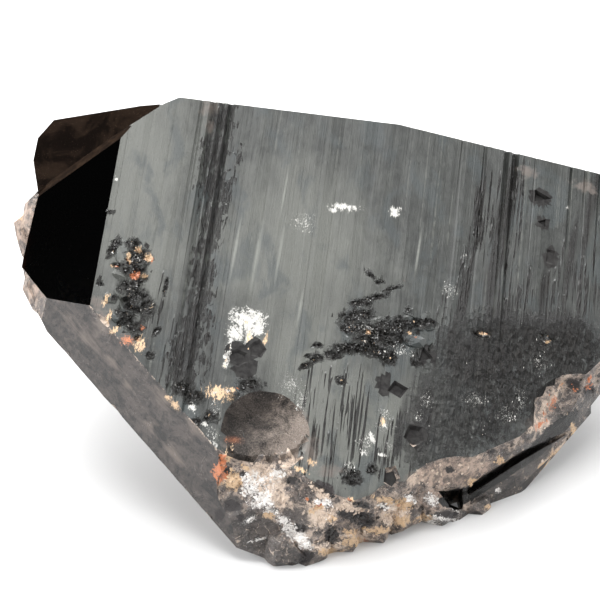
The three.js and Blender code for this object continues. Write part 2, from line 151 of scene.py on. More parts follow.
# Patches by kind: middle x and y, half width across and along, and a turn in degrees
PATCHES = {
    "hazy": [
        (-31.7, 20.6, 8.3, 19.3, -8), (-34.7, 28.7, 7.3, 10.9, 0), (-27.2, 2.2, 5.3, 12.4, 0),
        (-1.2, 10.3, 12.7, 16.8, 0), (6.8, -21, 10.6, 11.8, 0), (9.6, -22.4, 7, 9.8, 0),
        (16.7, -22.9, 7.1, 9.8, 0), (8.8, -30.5, 10.4, 5.8, 0), (0.4, -9.2, 6, 8.1, 0),
    ],
    "shaded": [
        (35.3, 26.4, 1.7, 13.1, -4), (36.1, 34.4, 1.3, 6.7, 0), (33.9, 14, 1.5, 10.6, -6),
        (28.9, 6.5, 0.9, 8.4, -5), (30.3, 28.6, 0.8, 8.8, -4), (35.9, 3.8, 4.1, 4.2, 0),
        (50.9, 31.1, 1, 13.3, -5), (47.8, 19.4, 0.8, 10.8, -5), (43.6, 12, 1.1, 6.4, -5),
        (23.5, -19.4, 3.6, 7.9, 0), (33, -5.1, 7.3, 6.1, 0), (46.2, 4, 7.4, 5, 0),
    ],
    "smooth": [
        (30.4, -28.2, 7.8, 2.9, 22), (-50.3, 4.3, 2.5, 8.3, 10), (-46, -8.3, 2.1, 5.2, -30),
        (27, -34.4, 2.5, 2.3, 0),
    ],
    "band": [
        (-18.6, 35.3, 2.6, 4.9, -6), (-18.8, 28.1, 2.9, 5.7, -6), (-18, 20.5, 3.1, 5.6, -8),
        (-17.5, 14.1, 2.5, 4.7, -8), (-17.7, 7.6, 2.2, 5.4, -6), (-17.6, 1.3, 2, 5.4, -6),
        (-17.4, -5, 2.3, 5.3, -4), (-17.6, -10.2, 3.2, 5.2, -4), (-18, -15.3, 3.5, 4.8, -4),
        (-18.2, -20, 2.9, 3.5, -4), (-19.8, -14.7, 1.7, 5.2, -4), (-17.3, -12.1, 1.4, 10, -4),
        (-17.5, -6, 1.2, 8.1, -6), (-17.4, -18.2, 1.4, 4.7, -4), (-15.6, 17.8, 0.9, 12.8, -6),
    ],
    "streaked": [
        (7.5, -18.9, 6.4, 6.7, 0), (7.5, -26.8, 6.3, 8.5, 0), (11.3, -22, 4.2, 10.2, 0),
        (19.5, -24.3, 3.9, 7.8, 0), (35.4, 23.1, 3.4, 16.5, -5), (30.5, 20.9, 2.4, 16, -6),
        (37.8, 8.5, 4.8, 8.4, -5), (50.8, 15.7, 4.9, 12.8, -5), (28.6, 8.6, 2.6, 9.2, -5),
        (26.8, -0.3, 2.6, 8.2, -5), (46.5, 10.5, 3, 7.2, 0), (-24.6, -5.5, 1.1, 8.1, -4),
        (-19.5, -14.6, 2.8, 9.1, -4),
    ],
    "rough": [
        (41.8, -1.1, 13.8, 6.2, -4), (36.9, -9.4, 11.8, 7.7, 8), (32.1, -16.6, 9, 6.4, 14),
        (49, 0.4, 7.4, 6.6, 10), (27.6, -15.5, 5.4, 8.4, 4), (28.6, -6.1, 4, 7.7, 4),
        (25.7, -23.9, 6, 4.7, 10), (51.2, -6.3, 5.5, 3.7, 40),
    ],
    "etched": [
        (-33.8, 3.5, 0.7, 2.5, -14), (-30.6, 4.8, 1.2, 1.2, 0), (-29, 2.7, 1.8, 1.9, 0),
        (-30.4, 1.1, 1.2, 1.4, 0), (-28.8, -1.3, 1.6, 2, 0), (-32.5, -0.2, 1.2, 0.6, 0),
        (-30.8, -1.1, 0.9, 0.8, 0), (-29.6, -4, 1.9, 1.6, 0), (-28.3, -5.5, 2.1, 1.4, 0),
        (-26.4, -7.6, 1.6, 1.8, 0), (-29.3, -7.2, 1.4, 1.6, 0), (-29.2, -10.5, 1.4, 1.4, 0),
        (-27.9, -11.8, 1.6, 1.2, 0), (-31.4, -5, 0.5, 0.8, 0), (-32.2, -6.8, 0.5, 0.6, 0),
        (-30.9, -9.6, 0.7, 0.8, 0), (-30.4, -11.6, 0.7, 0.6, 0), (-27.1, -13.7, 0.7, 0.8, 0),
        (-35.4, 10.6, 0.9, 0.4, 30), (-35.1, -4.2, 0.5, 0.8, 40), (10.5, -0.8, 2.9, 1.4, 22),
        (9.7, -3.5, 2.2, 1.4, 0), (14.5, -4.3, 4.5, 2.4, 8), (17.5, -1.9, 3.6, 1.8, 10),
        (21.3, -0.2, 2.5, 1, 8), (23.4, 0.6, 1.5, 0.6, 10), (13.7, -7.3, 2.9, 1.4, 0),
        (16.7, -8.3, 1.6, 1.4, 0), (9, -8, 2.7, 1, 10), (7.2, -9.6, 1.8, 1, 20),
        (4.1, -10.9, 1.4, 0.8, 10), (2.7, -12.8, 1.4, 0.6, 40), (4.2, -8.4, 0.9, 0.6, 0),
        (16, 6.1, 2.4, 0.3, 30), (13.3, 3.6, 2.5, 0.5, 28), (11, 2, 2.2, 0.8, 20),
        (11.8, 8.2, 1.1, 0.5, -40), (13.7, 6.9, 0.9, 0.4, 20), (19.3, 2.2, 0.5, 0.6, 0),
        (17.9, 0, 0.9, 0.8, 0), (23.1, -5.9, 1.6, 1, 20), (21.9, -8, 1.1, 1, 0),
        (23.8, -4.9, 0.7, 0.8, 0), (32.9, 0.4, 1.7, 1, 0), (44.3, 1.5, 2, 1.4, 10),
        (2.9, -10.9, 0.9, 0.4, 0), (8.8, -14.5, 0.9, 0.8, -40), (-8.7, -21.9, 1.2, 1, 0),
        (-12.4, -26.5, 1.4, 1, 10), (-14.8, -28.4, 1, 1.2, 0), (-15.6, -23.4, 1.7, 1.2, 20),
        (-23.7, -2.4, 0.4, 1.8, 0), (-23.9, -11.6, 0.5, 1, -30), (-24.4, -16.7, 0.7, 0.8, 0),
        (-17.6, -21.9, 1.6, 1.6, 0), (-18.3, -28, 0.9, 0.6, 20), (12.9, -32.9, 1.7, 1.5, 0),
        (16.1, -30.5, 0.9, 1.2, 0), (-6.6, -18.9, 2.1, 1.6, 0),
    ],
    "veil": [
        (-39, -12.5, 3.8, 1.4, -42), (-34.7, -16, 4.1, 1.6, -44), (-30.5, -19.5, 4.1, 1.4, -46),
        (-33.8, -12.7, 2.1, 3.2, -30), (-41.2, -10.3, 2.4, 1.2, -30), (-27.3, -23.4, 3.1, 1.2, -50),
        (-22.6, -29.3, 3.4, 1.2, -50), (-20.6, -24.9, 3.4, 1.7, -48), (-17.5, -35, 3.7, 1.3, -52),
        (-14.8, -29.6, 3.1, 1.5, -50),
    ],
    "white": [
        (-8.5, -6.3, 3.5, 2.8, 0), (-10.3, -9.1, 1.8, 1.8, 20), (-11.1, -12.8, 0.7, 4.4, -4),
        (-8, -9.3, 0.7, 4, -3), (-6.6, -7.7, 1.4, 1.2, 0), (5.8, 21.3, 3, 0.9, 6),
        (3.7, 20.1, 1.1, 0.6, 0), (15, 22.3, 1.1, 1.3, -20), (-35.6, 17.6, 0.4, 0.4, 0),
        (-12.5, -22, 1.2, 0.6, 0), (-10.2, -20.9, 0.7, 0.4, 0), (28.7, 15.9, 0.4, 0.4, 0),
        (46.6, 30.6, 0.4, 0.4, 0), (42.3, 32.3, 0.4, 0.4, 0), (-13.3, -28.1, 0.7, 0.6, 30),
        (-15.9, -25.3, 0.7, 1, 30), (-11.4, -31.4, 1, 0.4, -30), (15.5, -24.7, 0.5, 1.4, 20),
        (17.3, -21.7, 0.5, 0.6, 0), (14.4, -27.9, 0.7, 0.6, 0), (17.6, -27.6, 0.9, 0.4, 0),
    ],
    # Where the front face sparkles: the white specks painted there are painted glints
    "sparkle": [
        (0.3, -17.4, 2.8, 2.8, 0), (2.3, -20, 1.8, 3.9, 0), (-1.5, -20.4, 1.4, 1.2, 0),
        (-1, 16.4, 3.1, 3, 20), (14.4, -26.3, 2.1, 3.1, 0), (12.3, -31.1, 1.7, 1.9, 0),
        (17.5, -21.7, 2.1, 1.8, 0), (18.4, -25.5, 1.1, 1.7, 0), (24, -15.3, 1.6, 2.8, 0),
        (23.1, -19.1, 1.1, 1.6, 0), (32.8, -13.4, 3.2, 1.8, 10), (38.3, -15.2, 2.5, 2.4, 0),
        (40.7, -11.7, 1.6, 3.2, 0), (43.8, -3.8, 1.8, 2.5, 0), (26.4, 8.1, 2.2, 2.1, 0),
        (-4.6, -35.2, 2.1, 1.9, 0), (18.7, -6.2, 3.6, 1.8, 0), (12.1, -3.6, 2.9, 1.8, 0),
        (-11.9, -25, 1.4, 2.3, 20), (-11.9, -29.4, 1.5, 2.3, 20), (0.2, -31.3, 2.8, 1.9, 0),
        (3.2, -27.7, 1.4, 3.9, 0), (17.3, -19.7, 1.8, 1.6, 0),
    ],
    "cream": [
        (-29.4, 4.1, 0.7, 0.8, 0), (-27.4, 2.8, 0.9, 1, 0), (-30.9, 2.2, 0.5, 1, 0),
        (-33.5, -0.5, 0.7, 0.4, -10), (-27.6, -1, 0.7, 0.6, 0), (-26.4, -15, 1.2, 1.8, 0),
        (-33.5, -7.5, 0.5, 1.8, -10), (-32.6, -11, 0.5, 1.8, -10), (-31.2, -13.2, 0.7, 1.4, -40),
        (-8.9, -6.6, 0.5, 0.6, 0), (-7.8, -10.4, 0.6, 3, -3), (-11.2, -14.5, 0.3, 2.8, -4),
        (-11.7, -21.6, 2.8, 1.8, 0), (-9.5, -20.5, 0.7, 0.8, -30), (-18.8, -25.5, 1.4, 0.8, -50),
        (-20.2, -24.4, 0.9, 0.6, -40), (17.1, -21.2, 0.5, 1.2, 0), (12.8, -3.8, 0.5, 0.4, 0),
        (20.1, -2.4, 0.5, 0.4, 0), (44.9, 1.4, 0.7, 0.4, 20), (-5.1, -9.4, 0.4, 2, -3),
        (-21.1, -29.8, 0.5, 0.6, 0), (33.3, 0.5, 1.3, 0.3, 0), (-8.6, -33.3, 0.9, 2.7, -10),
        (-6.3, -37.9, 1.4, 0.9, 30), (-7.6, -38.5, 2, 1.7, 20), (-5.4, -35, 1, 0.8, 20),
        (-0.5, -43, 1.5, 0.9, 20), (7.7, -39.9, 0.7, 2.3, -45), (10, -41.4, 0.9, 0.9, 0),
        (3.9, -33.4, 1.6, 0.6, -10), (4.5, -38.7, 0.9, 0.6, 0), (10.7, -47.7, 2.4, 0.9, 12),
        (14.6, -44.8, 2.4, 1.3, 15), (18.3, -42, 2.4, 1.1, 15), (21.8, -39.3, 2.4, 1.5, 20),
        (22.4, -36.3, 1.7, 1.3, 0), (18.9, -36.1, 2.4, 0.9, 0), (26.1, -38.1, 1.6, 0.9, 20),
        (38.1, -24.3, 0.9, 1, 30), (33.7, -29.3, 1.6, 1, 30), (48.5, -20.5, 2.7, 1.2, 38),
        (46, -23.6, 1.4, 0.8, 30), (47.7, -7.7, 1.5, 0.8, 40), (-7.2, -37.3, 1.5, 1.5, 20),
        (50.3, -14.7, 0.7, 2.8, 20), (13.6, -43.3, 1.4, 1.1, 0), (13.3, -37.3, 1, 0.6, -40),
        (-50.9, 5.9, 0.7, 1.2, 0), (-46.5, -5.3, 0.5, 0.8, 0), (5.7, -31.5, 0.9, 0.8, 0),
        (37, -33.7, 1.4, 0.6, 15), (12.4, -40.3, 0.9, 0.6, 0), (-8, -9.3, 0.4, 3.6, 0),
    ],
    "rust": [
        (-32.8, -0.3, 0.7, 0.3, -10), (-26.8, 2.3, 0.4, 1, 0), (-29.6, -1.7, 0.9, 0.8, 0),
        (-26.4, -11.7, 0.5, 0.6, 0), (-28.7, -14.7, 1.6, 1.4, 0), (-28.8, -1.1, 0.5, 1, 0),
        (18, 8.1, 0.4, 0.2, 0), (-8.7, -20, 0.7, 0.2, -10), (-9.4, -36.6, 1.9, 2.6, 0),
        (-9.3, -37, 1.2, 1.7, 10), (-9.5, -34.3, 0.9, 1.5, 0), (-8, -30.1, 2.1, 1, 8),
        (8, -39.3, 0.3, 2.3, -45), (5.9, -38.8, 0.9, 0.4, -20), (46.7, -11.4, 1.1, 1.8, -20),
        (47.7, -7.3, 0.9, 0.4, 40), (44.6, -15.9, 0.9, 2, -35), (13, -37.3, 0.9, 0.4, -40),
        (16.3, -44.3, 0.9, 0.6, 0), (48.6, -21.3, 1.4, 0.4, 38), (53, -4.5, 1.1, 0.6, 45),
        (50.5, -8.5, 0.7, 1, 0), (21.1, -3, 0.7, 0.4, 20),
    ],
    "beige": [
        (-34.7, -8.8, 1.6, 2.8, 20), (-33.2, -11.6, 1.4, 2.8, 30), (1.5, -28.1, 3, 6.6, 8),
        (2.8, -23.9, 1.7, 3.1, 0), (-1, -36.4, 4.5, 2.7, 0), (1.2, -39.8, 3.8, 1.9, -10),
        (-3.7, -35, 2.7, 1.9, 20), (27.9, -29.2, 5.3, 2.3, 22), (32.9, -26.5, 4.3, 1.9, 22),
        (23.1, -31, 1.8, 1.5, 0), (48.8, -20, 2.9, 1.4, 38), (46, -23.4, 1.8, 1, 38),
        (-21.1, 37, 2, 2.7, 0), (38.7, 36.8, 2.3, 2, 0), (49.6, 36.2, 3.1, 1.8, -10),
        (7.7, -36.9, 2.8, 1.1, -40), (20.9, -38.6, 3.5, 2.6, 10), (44.3, -15.8, 2, 3.2, -40),
        (45.9, -11.4, 1.3, 2.2, -30), (47.5, -8.2, 1.1, 1, 40), (13.2, -39.2, 3.1, 1.9, 0),
        (-49.8, 4.4, 1.4, 4.6, 10), (-45.9, -8.3, 1, 4, -30), (8.2, -41.2, 3.1, 3, -30),
        (5.1, -29.3, 2.4, 4.6, 0), (9, -32.4, 2.8, 1.5, 20), (-7.5, -31.2, 3.1, 1.5, 10),
        (10.6, -46.9, 2.7, 1.5, 10), (15.4, -44.1, 3.1, 1.5, 10), (-20.5, 32.6, 1.1, 2, 0),
    ],
    "bright": [
        (-3.8, -38.5, 2.2, 2.3, 30), (-5.2, -37.3, 1.4, 1.5, 0), (-1.3, -40.3, 2.6, 1.7, -30),
        (3.7, -45, 2.4, 1.5, -40), (2.1, -43.4, 1.4, 1.1, 0), (6.5, -47.2, 1.7, 1.1, -10),
        (-3.1, -36, 1.7, 1.1, 0), (28.6, -37.6, 4.5, 0.8, 8), (30.5, -34.7, 2.5, 0.8, -40),
        (19.1, -37.6, 2.3, 0.4, 0), (-2.9, -41.6, 1.7, 1.1, 0), (-0.2, -42.4, 1.7, 0.9, 10),
        (27, -38.7, 2.1, 0.9, 0), (38.2, -30.2, 0.7, 0.8, 0), (27, -34.4, 1.6, 1.5, 0),
        (-2.3, -36.3, 3.4, 1.3, -10), (5.4, -46.1, 2, 1.5, -30), (23.2, -35.2, 1.4, 0.8, 0),
        (-0.1, -35, 2.1, 1.1, 10), (8.3, -39.1, 2.1, 1.3, 20), (-1.6, -47.9, 2.4, 0.4, 28),
        (-3.4, -44.5, 1.7, 0.6, 40),
    ],
    "glass": [
        (-5.5, -47.8, 4.4, 5.5, -40), (-0.2, -49.5, 5.7, 3.7, -14), (3.3, -50.3, 4.1, 2.6, 10),
        (4.3, -41.4, 2.6, 2.2, 10), (-6.7, -42.9, 2, 2.6, 0), (-8, -45.5, 1.7, 4.4, -30),
        (26.8, -34.5, 2.1, 1.7, -20), (31.2, -37.4, 3.8, 2.3, 10), (38.5, -30.1, 6, 3.9, 32),
        (43.3, -23.2, 6.1, 3.1, 38), (47.3, -15.3, 6.2, 2, 38), (51.8, -15.4, 1.8, 4.8, 20),
        (53.3, -10, 3.7, 2.4, 40), (-2.3, -46.2, 5.1, 3.7, -20), (6.6, -42.5, 1.5, 2.2, 0),
    ],
    "dark": [
        (8.2, -36, 2.9, 1.5, -20), (2.6, -35.8, 1.6, 1.1, 0), (10.6, -44.5, 1.5, 2, 0),
        (6.6, -49.6, 2, 1.7, 20), (-6.7, -42.4, 1.9, 1.7, 0), (12.8, -40.2, 2.2, 1.3, 10),
        (15.9, -40.6, 2.4, 1.5, 10), (14.8, -37.9, 2.1, 0.8, 0), (23.2, -22.5, 1.6, 2, 0),
        (29.5, -28, 1.1, 0.8, 20), (36.6, -23, 1.3, 0.6, 20), (-8.5, -44.6, 1, 1.5, 0),
        (50.3, -6.5, 1.7, 1.6, 20), (34.4, -35.8, 1.4, 1.1, 20), (29.9, -36.7, 2.4, 0.9, 10),
        (5.1, -44.3, 1.4, 0.9, 0), (-5.1, -44.5, 0.8, 1.1, 0), (-8.2, -36, 0.5, 1.1, 0),
        (-5.6, -36.2, 0.7, 0.9, 0), (52.8, -7.4, 1.8, 1.2, 40),
    ],
}
PITS = [
    (-9.7, -12.9, 2.2, 2.2, 0), (-6.4, -11.4, 2, 2, 0), (-8, -15.2, 2.4, 2.6, 0),
    (41.5, 31.8, 2.2, 2, 0), (42.3, 26.2, 1.4, 1.4, 0), (44.2, 19.2, 1.4, 2.4, 0),
    (17.6, -13.6, 2.6, 2.4, 0), (19.5, -31.6, 2.2, 2.6, 0), (22.6, -22.5, 2.4, 2.6, 0),
    (23.2, -6.2, 2, 2, 0), (19.1, -14.2, 2.4, 2.2, 0),
]


# Crystal coordinates

def to_crystal(points):
    """Points in the part's frame, in metres, as crystal coordinates in millimetres."""
    return (points - np.array(FACE_MIDDLE)) @ AXES / MM


def on_front_plane(points):
    """Where lines from the viewing point through the points meet the front face's plane."""
    share = VIEWPOINT[2] / (VIEWPOINT[2] - points[:, 2:])
    return VIEWPOINT + (points - VIEWPOINT) * share


def face_normal(letter, number):
    """The outward direction of a prism face m, or of the tip face r above it."""
    turn = PRISM_STEP * (number - 1)
    prism = np.array((0.0, -math.sin(turn), math.cos(turn)))
    if letter == "m":
        return prism
    return prism * math.cos(TIP_LEAN) + np.array((-math.sin(TIP_LEAN), 0.0, 0.0))


def read_all(items, name, width=1, kind=float):
    """One property of all items of a mesh: a number for each, or a row of several."""
    values = np.empty(len(items) * width, kind)
    items.foreach_get(name, values)
    return values if width == 1 else values.reshape(-1, width)


def vertex_points(mesh):
    """The mesh's vertices in crystal coordinates."""
    return to_crystal(read_all(mesh.vertices, "co", 3))


def height_above_floor(mesh):
    """Each vertex's height, in millimetres."""
    return read_all(mesh.vertices, "co", 3)[:, 2] / MM


def between(values, low, high):
    """Whether each value lies between two others."""
    return (values > low) & (values < high)


def patch_cover(marks, patches):
    """How deep inside the patches each mark lies: 1 in a patch's middle, 0 on its rim, -1 far off."""
    cover = np.full(len(marks), -1.0)
    for x, y, across, along, turn in patches:
        angle = math.radians(turn)
        dx = marks[:, 0] - x
        dy = marks[:, 1] - y
        u = (dx * math.cos(angle) + dy * math.sin(angle)) / across
        v = (dy * math.cos(angle) - dx * math.sin(angle)) / along
        cover = np.maximum(cover, 1 - np.hypot(u, v))
    return cover


def lattice_noise(points, scale, octaves=3):
    """Smooth random values at each point, about -1 to 1, the same at every run."""
    total = np.zeros(len(points))
    for octave in range(octaves):
        place = points * (scale * 2 ** octave) + 31.7 * octave
        cell = np.floor(place).astype(np.int64)
        part = place - cell
        part = part * part * (3 - 2 * part)
        for corner in np.ndindex(2, 2, 2):
            key = (cell + corner) @ np.array((73856093, 19349663, 83492791))
            key = (key ^ (key >> 13)) * 1274126177 & 0x7FFFFFFF
            value = (key ^ (key >> 16)) % 2003 / 1001 - 1
            weight = np.prod(np.where(corner, part, 1 - part), axis=1)
            total += value * weight / 2 ** octave
    return total / 1.4


def hollow_places(points):
    """1 inside the crack and in the gap beside it, where shade is painted near black."""
    x, y, z = points.T
    run = np.array(CRACK_END) - CRACK_START
    along = np.clip((x - CRACK_START[0]) / run[0], 0, 1)
    gap = np.hypot(y - CRACK_START[1] - along * run[1], z - CRACK_START[2] - along * run[2])
    return ((gap < CRACK_WIDTH) & between(x, 28.5, CRACK_END[0]) & (y > -31.5) & (z < -3.6)).astype(float)


# Modelling

def select_only(piece):
    """Selects one object and makes it active."""
    bpy.ops.object.select_all(action="DESELECT")
    piece.select_set(True)
    bpy.context.view_layer.objects.active = piece


def merged_copy(node, name):
    """A copy of a solid's mesh, with its loose triangles merged."""
    piece = bpy.data.objects.new(name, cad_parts[node].data.copy())
    bpy.context.scene.collection.objects.link(piece)
    select_only(piece)
    piece.data.materials.clear()
    bpy.ops.object.mode_set(mode="EDIT")
    bpy.ops.mesh.select_all(action="SELECT")
    bpy.ops.mesh.remove_doubles(threshold=1e-7)
    bpy.ops.mesh.customdata_custom_splitnormals_clear()
    bpy.ops.object.mode_set(mode="OBJECT")
    return piece


def split_long_edges(piece, longest):
    """Halves the edges that are longer than wanted and turns the flat ones, round by round."""
    mesh = piece.data
    bpy.context.tool_settings.mesh_select_mode = (False, True, False)
    for _ in range(SPLIT_ROUNDS):
        ends = vertex_points(mesh)[read_all(mesh.edges, "vertices", 2, int)]
        lengths = np.linalg.norm(ends[:, 0] - ends[:, 1], axis=1)
        too_long = lengths > longest(ends.mean(axis=1))
        if not too_long.any():
            return
        mesh.vertices.foreach_set("select", np.zeros(len(mesh.vertices), bool))
        mesh.polygons.foreach_set("select", np.zeros(len(mesh.polygons), bool))
        mesh.edges.foreach_set("select", too_long)
        bpy.ops.object.mode_set(mode="EDIT")
        bpy.ops.mesh.subdivide(number_cuts=1)
        bpy.ops.mesh.select_all(action="SELECT")
        bpy.ops.mesh.quads_convert_to_tris(quad_method="SHORTEST_DIAGONAL")
        bpy.ops.mesh.beautify_fill(angle_limit=math.radians(1))
        bpy.ops.object.mode_set(mode="OBJECT")


def add_field(mesh, name, values):
    """Keeps one number for each vertex, which a material reads by its name."""
    attribute = mesh.attributes.new(name, "FLOAT", "POINT")
    attribute.data.foreach_set("value", values.astype(np.float32))


def read_field(mesh, name):
    """The numbers kept by add_field."""
    return read_all(mesh.attributes[name].data, "value", kind=np.float32)


def vertex_group(piece, name, weights, levels=20):
    """A vertex group from one weight for each vertex."""
    group = piece.vertex_groups.new(name=name)
    steps = np.rint(np.clip(weights, 0, 1) * levels).astype(int)
    for step in range(1, levels + 1):
        chosen = np.flatnonzero(steps == step)
        if len(chosen):
            group.add(chosen.tolist(), step / levels, "REPLACE")


def press_relief(piece, group, kind, grain, height, middle):
    """Raises and sinks a vertex group along its normals by a texture of the crystal's own grain.

    Grain and height are in millimetres. A middle of 1 only sinks, and 0.5 does both.
    """
    texture = bpy.data.textures.new(group, kind)
    texture.noise_scale = 1.0
    if kind == "CLOUDS":
        texture.noise_depth = CLOUD_DEPTH
    bpy.ops.object.empty_add()
    guide = bpy.context.object
    size = Matrix.Diagonal((grain * MM, grain * MM, grain * MM, 1.0))
    guide.matrix_world = Matrix.Translation(FACE_MIDDLE) @ ATTITUDE.to_matrix().to_4x4() @ size
    bpy.context.view_layer.update()
    relief = piece.modifiers.new(group, "DISPLACE")
    relief.texture = texture
    relief.texture_coords = "OBJECT"
    relief.texture_coords_object = guide
    relief.vertex_group = group
    relief.strength = height * MM
    relief.mid_level = middle
    select_only(piece)
    bpy.ops.object.modifier_apply(modifier=relief.name)
    bpy.data.objects.remove(guide)
    bpy.data.textures.remove(texture)


def slide(piece, group, way):
    """Moves a vertex group along a way given in the part's frame, in metres."""
    select_only(piece)
    for axis, distance in zip("XYZ", way):
        move = piece.modifiers.new(group, "DISPLACE")
        move.direction = axis
        move.vertex_group = group
        move.strength = distance
        move.mid_level = 0.0
        bpy.ops.object.modifier_apply(modifier=move.name)


def place_scar(piece):
    """Moves the round scar up to its place on the front face, and fills its lower right side."""
    points = vertex_points(piece.data)
    x = points[:, 0] - SCAR[0]
    y = points[:, 1] - SCAR[1]
    z = points[:, 2]
    inside_edge = np.clip((SCAR_LIMIT - points @ face_normal("r", 2)) / 3, 0, 1)
    rise = np.clip(SCAR_REACH - np.hypot(x, y) / SCAR[2], 0, 1) * (z > -3) * inside_edge
    fill = np.clip((x * 0.6 - y * 0.8) / SCAR[2] * 1.5 + 0.2, 0, 1) * np.clip(-z / SCAR_DEPTH, 0, 1)
    vertex_group(piece, "scar_fill", fill * (np.hypot(x, y) < SCAR[2]), 200)
    vertex_group(piece, "scar_rise", rise, 100)
    slide(piece, "scar_fill", AXES[:, 2] * SCAR_DEPTH * MM)
    slide(piece, "scar_rise", AXES[:, 1] * SCAR_RISE * MM)


# Stones that are strewn over a surface

def primitive_shape():
    """The corners and faces of the primitive just added, which is taken out of the scene."""
    mesh = bpy.context.object.data
    corners = np.array([vertex.co for vertex in mesh.vertices])
    faces = np.array([tuple(face.vertices) for face in mesh.polygons])
    bpy.data.meshes.remove(mesh)
    return corners, faces


def stone_shapes(rng):
    """Angular stones of radius 1."""
    shapes = []
    for _ in range(STONE_KINDS):
        bpy.ops.mesh.primitive_ico_sphere_add(subdivisions=1, radius=1)
        corners, faces = primitive_shape()
        shapes.append((corners * rng.uniform(0.55, 1.2, (len(corners), 1)), faces))
    return shapes


def point_shapes(rng):
    """Small five-sided quartz points about z = 0."""
    shapes = []
    for _ in range(STONE_KINDS):
        bpy.ops.mesh.primitive_cone_add(
            vertices=5, radius1=0.75, radius2=0.0, depth=1.6, end_fill_type="TRIFAN")
        corners, faces = primitive_shape()
        shapes.append((corners + rng.normal(0, 0.14, corners.shape), faces))
    return shapes


def turned_frames(rng, normals, lean, grain):
    """For each normal, three axes with the last near it; the second runs along the grain if given."""
    up = normals + rng.normal(0, lean, normals.shape)
    up /= np.linalg.norm(up, axis=1, keepdims=True)
    if grain is None:
        along = rng.normal(0, 1, normals.shape)
    else:
        along = grain + rng.normal(0, 0.08, normals.shape)
    side = np.cross(along, up)
    side /= np.linalg.norm(side, axis=1, keepdims=True)
    return np.stack((side, np.cross(up, side), up), axis=2)


def pick_places(mesh, chance, count, rng):
    """Random places on a mesh, their directions, and for each a vertex beside it."""
    points = read_all(mesh.vertices, "co", 3)
    mesh.calc_loop_triangles()
    corners = read_all(mesh.loop_triangles, "vertices", 3, int)
    a, b, c = (points[corners[:, k]] for k in range(3))
    across = np.cross(b - a, c - a)
    area = np.linalg.norm(across, axis=1)
    weight = area * chance[corners].min(axis=1)
    picked = rng.choice(len(corners), count, p=weight / weight.sum())
    u, v = rng.random((2, count))
    over = u + v > 1
    u = np.where(over, 1 - u, u)
    v = np.where(over, 1 - v, v)
    places = a[picked] + u[:, None] * (b - a)[picked] + v[:, None] * (c - a)[picked]
    return places, across[picked] / area[picked, None], corners[picked, 0]


def strew(name, host, chance, tint, count, shapes, build, rng, grain=None):
    """Strews stones over a host where each vertex's chance is above 0, and joins them in one mesh.

    The chance and the tint are one number for each of the host's vertices.
    """
    sizes, sink, lean, form = build
    places, normals, beside = pick_places(host.data, chance, count, rng)
    axes = turned_frames(rng, normals, lean, grain)
    size = (sizes[0] + (sizes[1] - sizes[0]) * rng.random(count) ** 2.5) * MM
    shade = tint[beside] + rng.normal(0, 0.035, count)
    kinds = rng.integers(len(shapes), size=count)
    vertices = []
    faces = []
    shades = []
    start = 0
    for i in range(count):
        shape, sides = shapes[kinds[i]]
        stone = shape * size[i] * np.array(form) * rng.uniform(0.7, 1.3, 3)
        vertices.append(stone @ axes[i].T + places[i] - normals[i] * sink * size[i] * form[2])
        faces.append(sides + start)
        shades.append(np.full(len(shape), shade[i]))
        start += len(shape)
    grains = bpy.data.meshes.new(name)
    grains.from_pydata(np.concatenate(vertices), [], np.concatenate(faces))
    grains.validate()
    add_field(grains, "tint", np.concatenate(shades))
    piece = bpy.data.objects.new(name, grains)
    bpy.context.scene.collection.objects.link(piece)
    return piece


# Materials

def rgb(red, green, blue):
    """A colour with no transparency."""
    return (red, green, blue, 1.0)


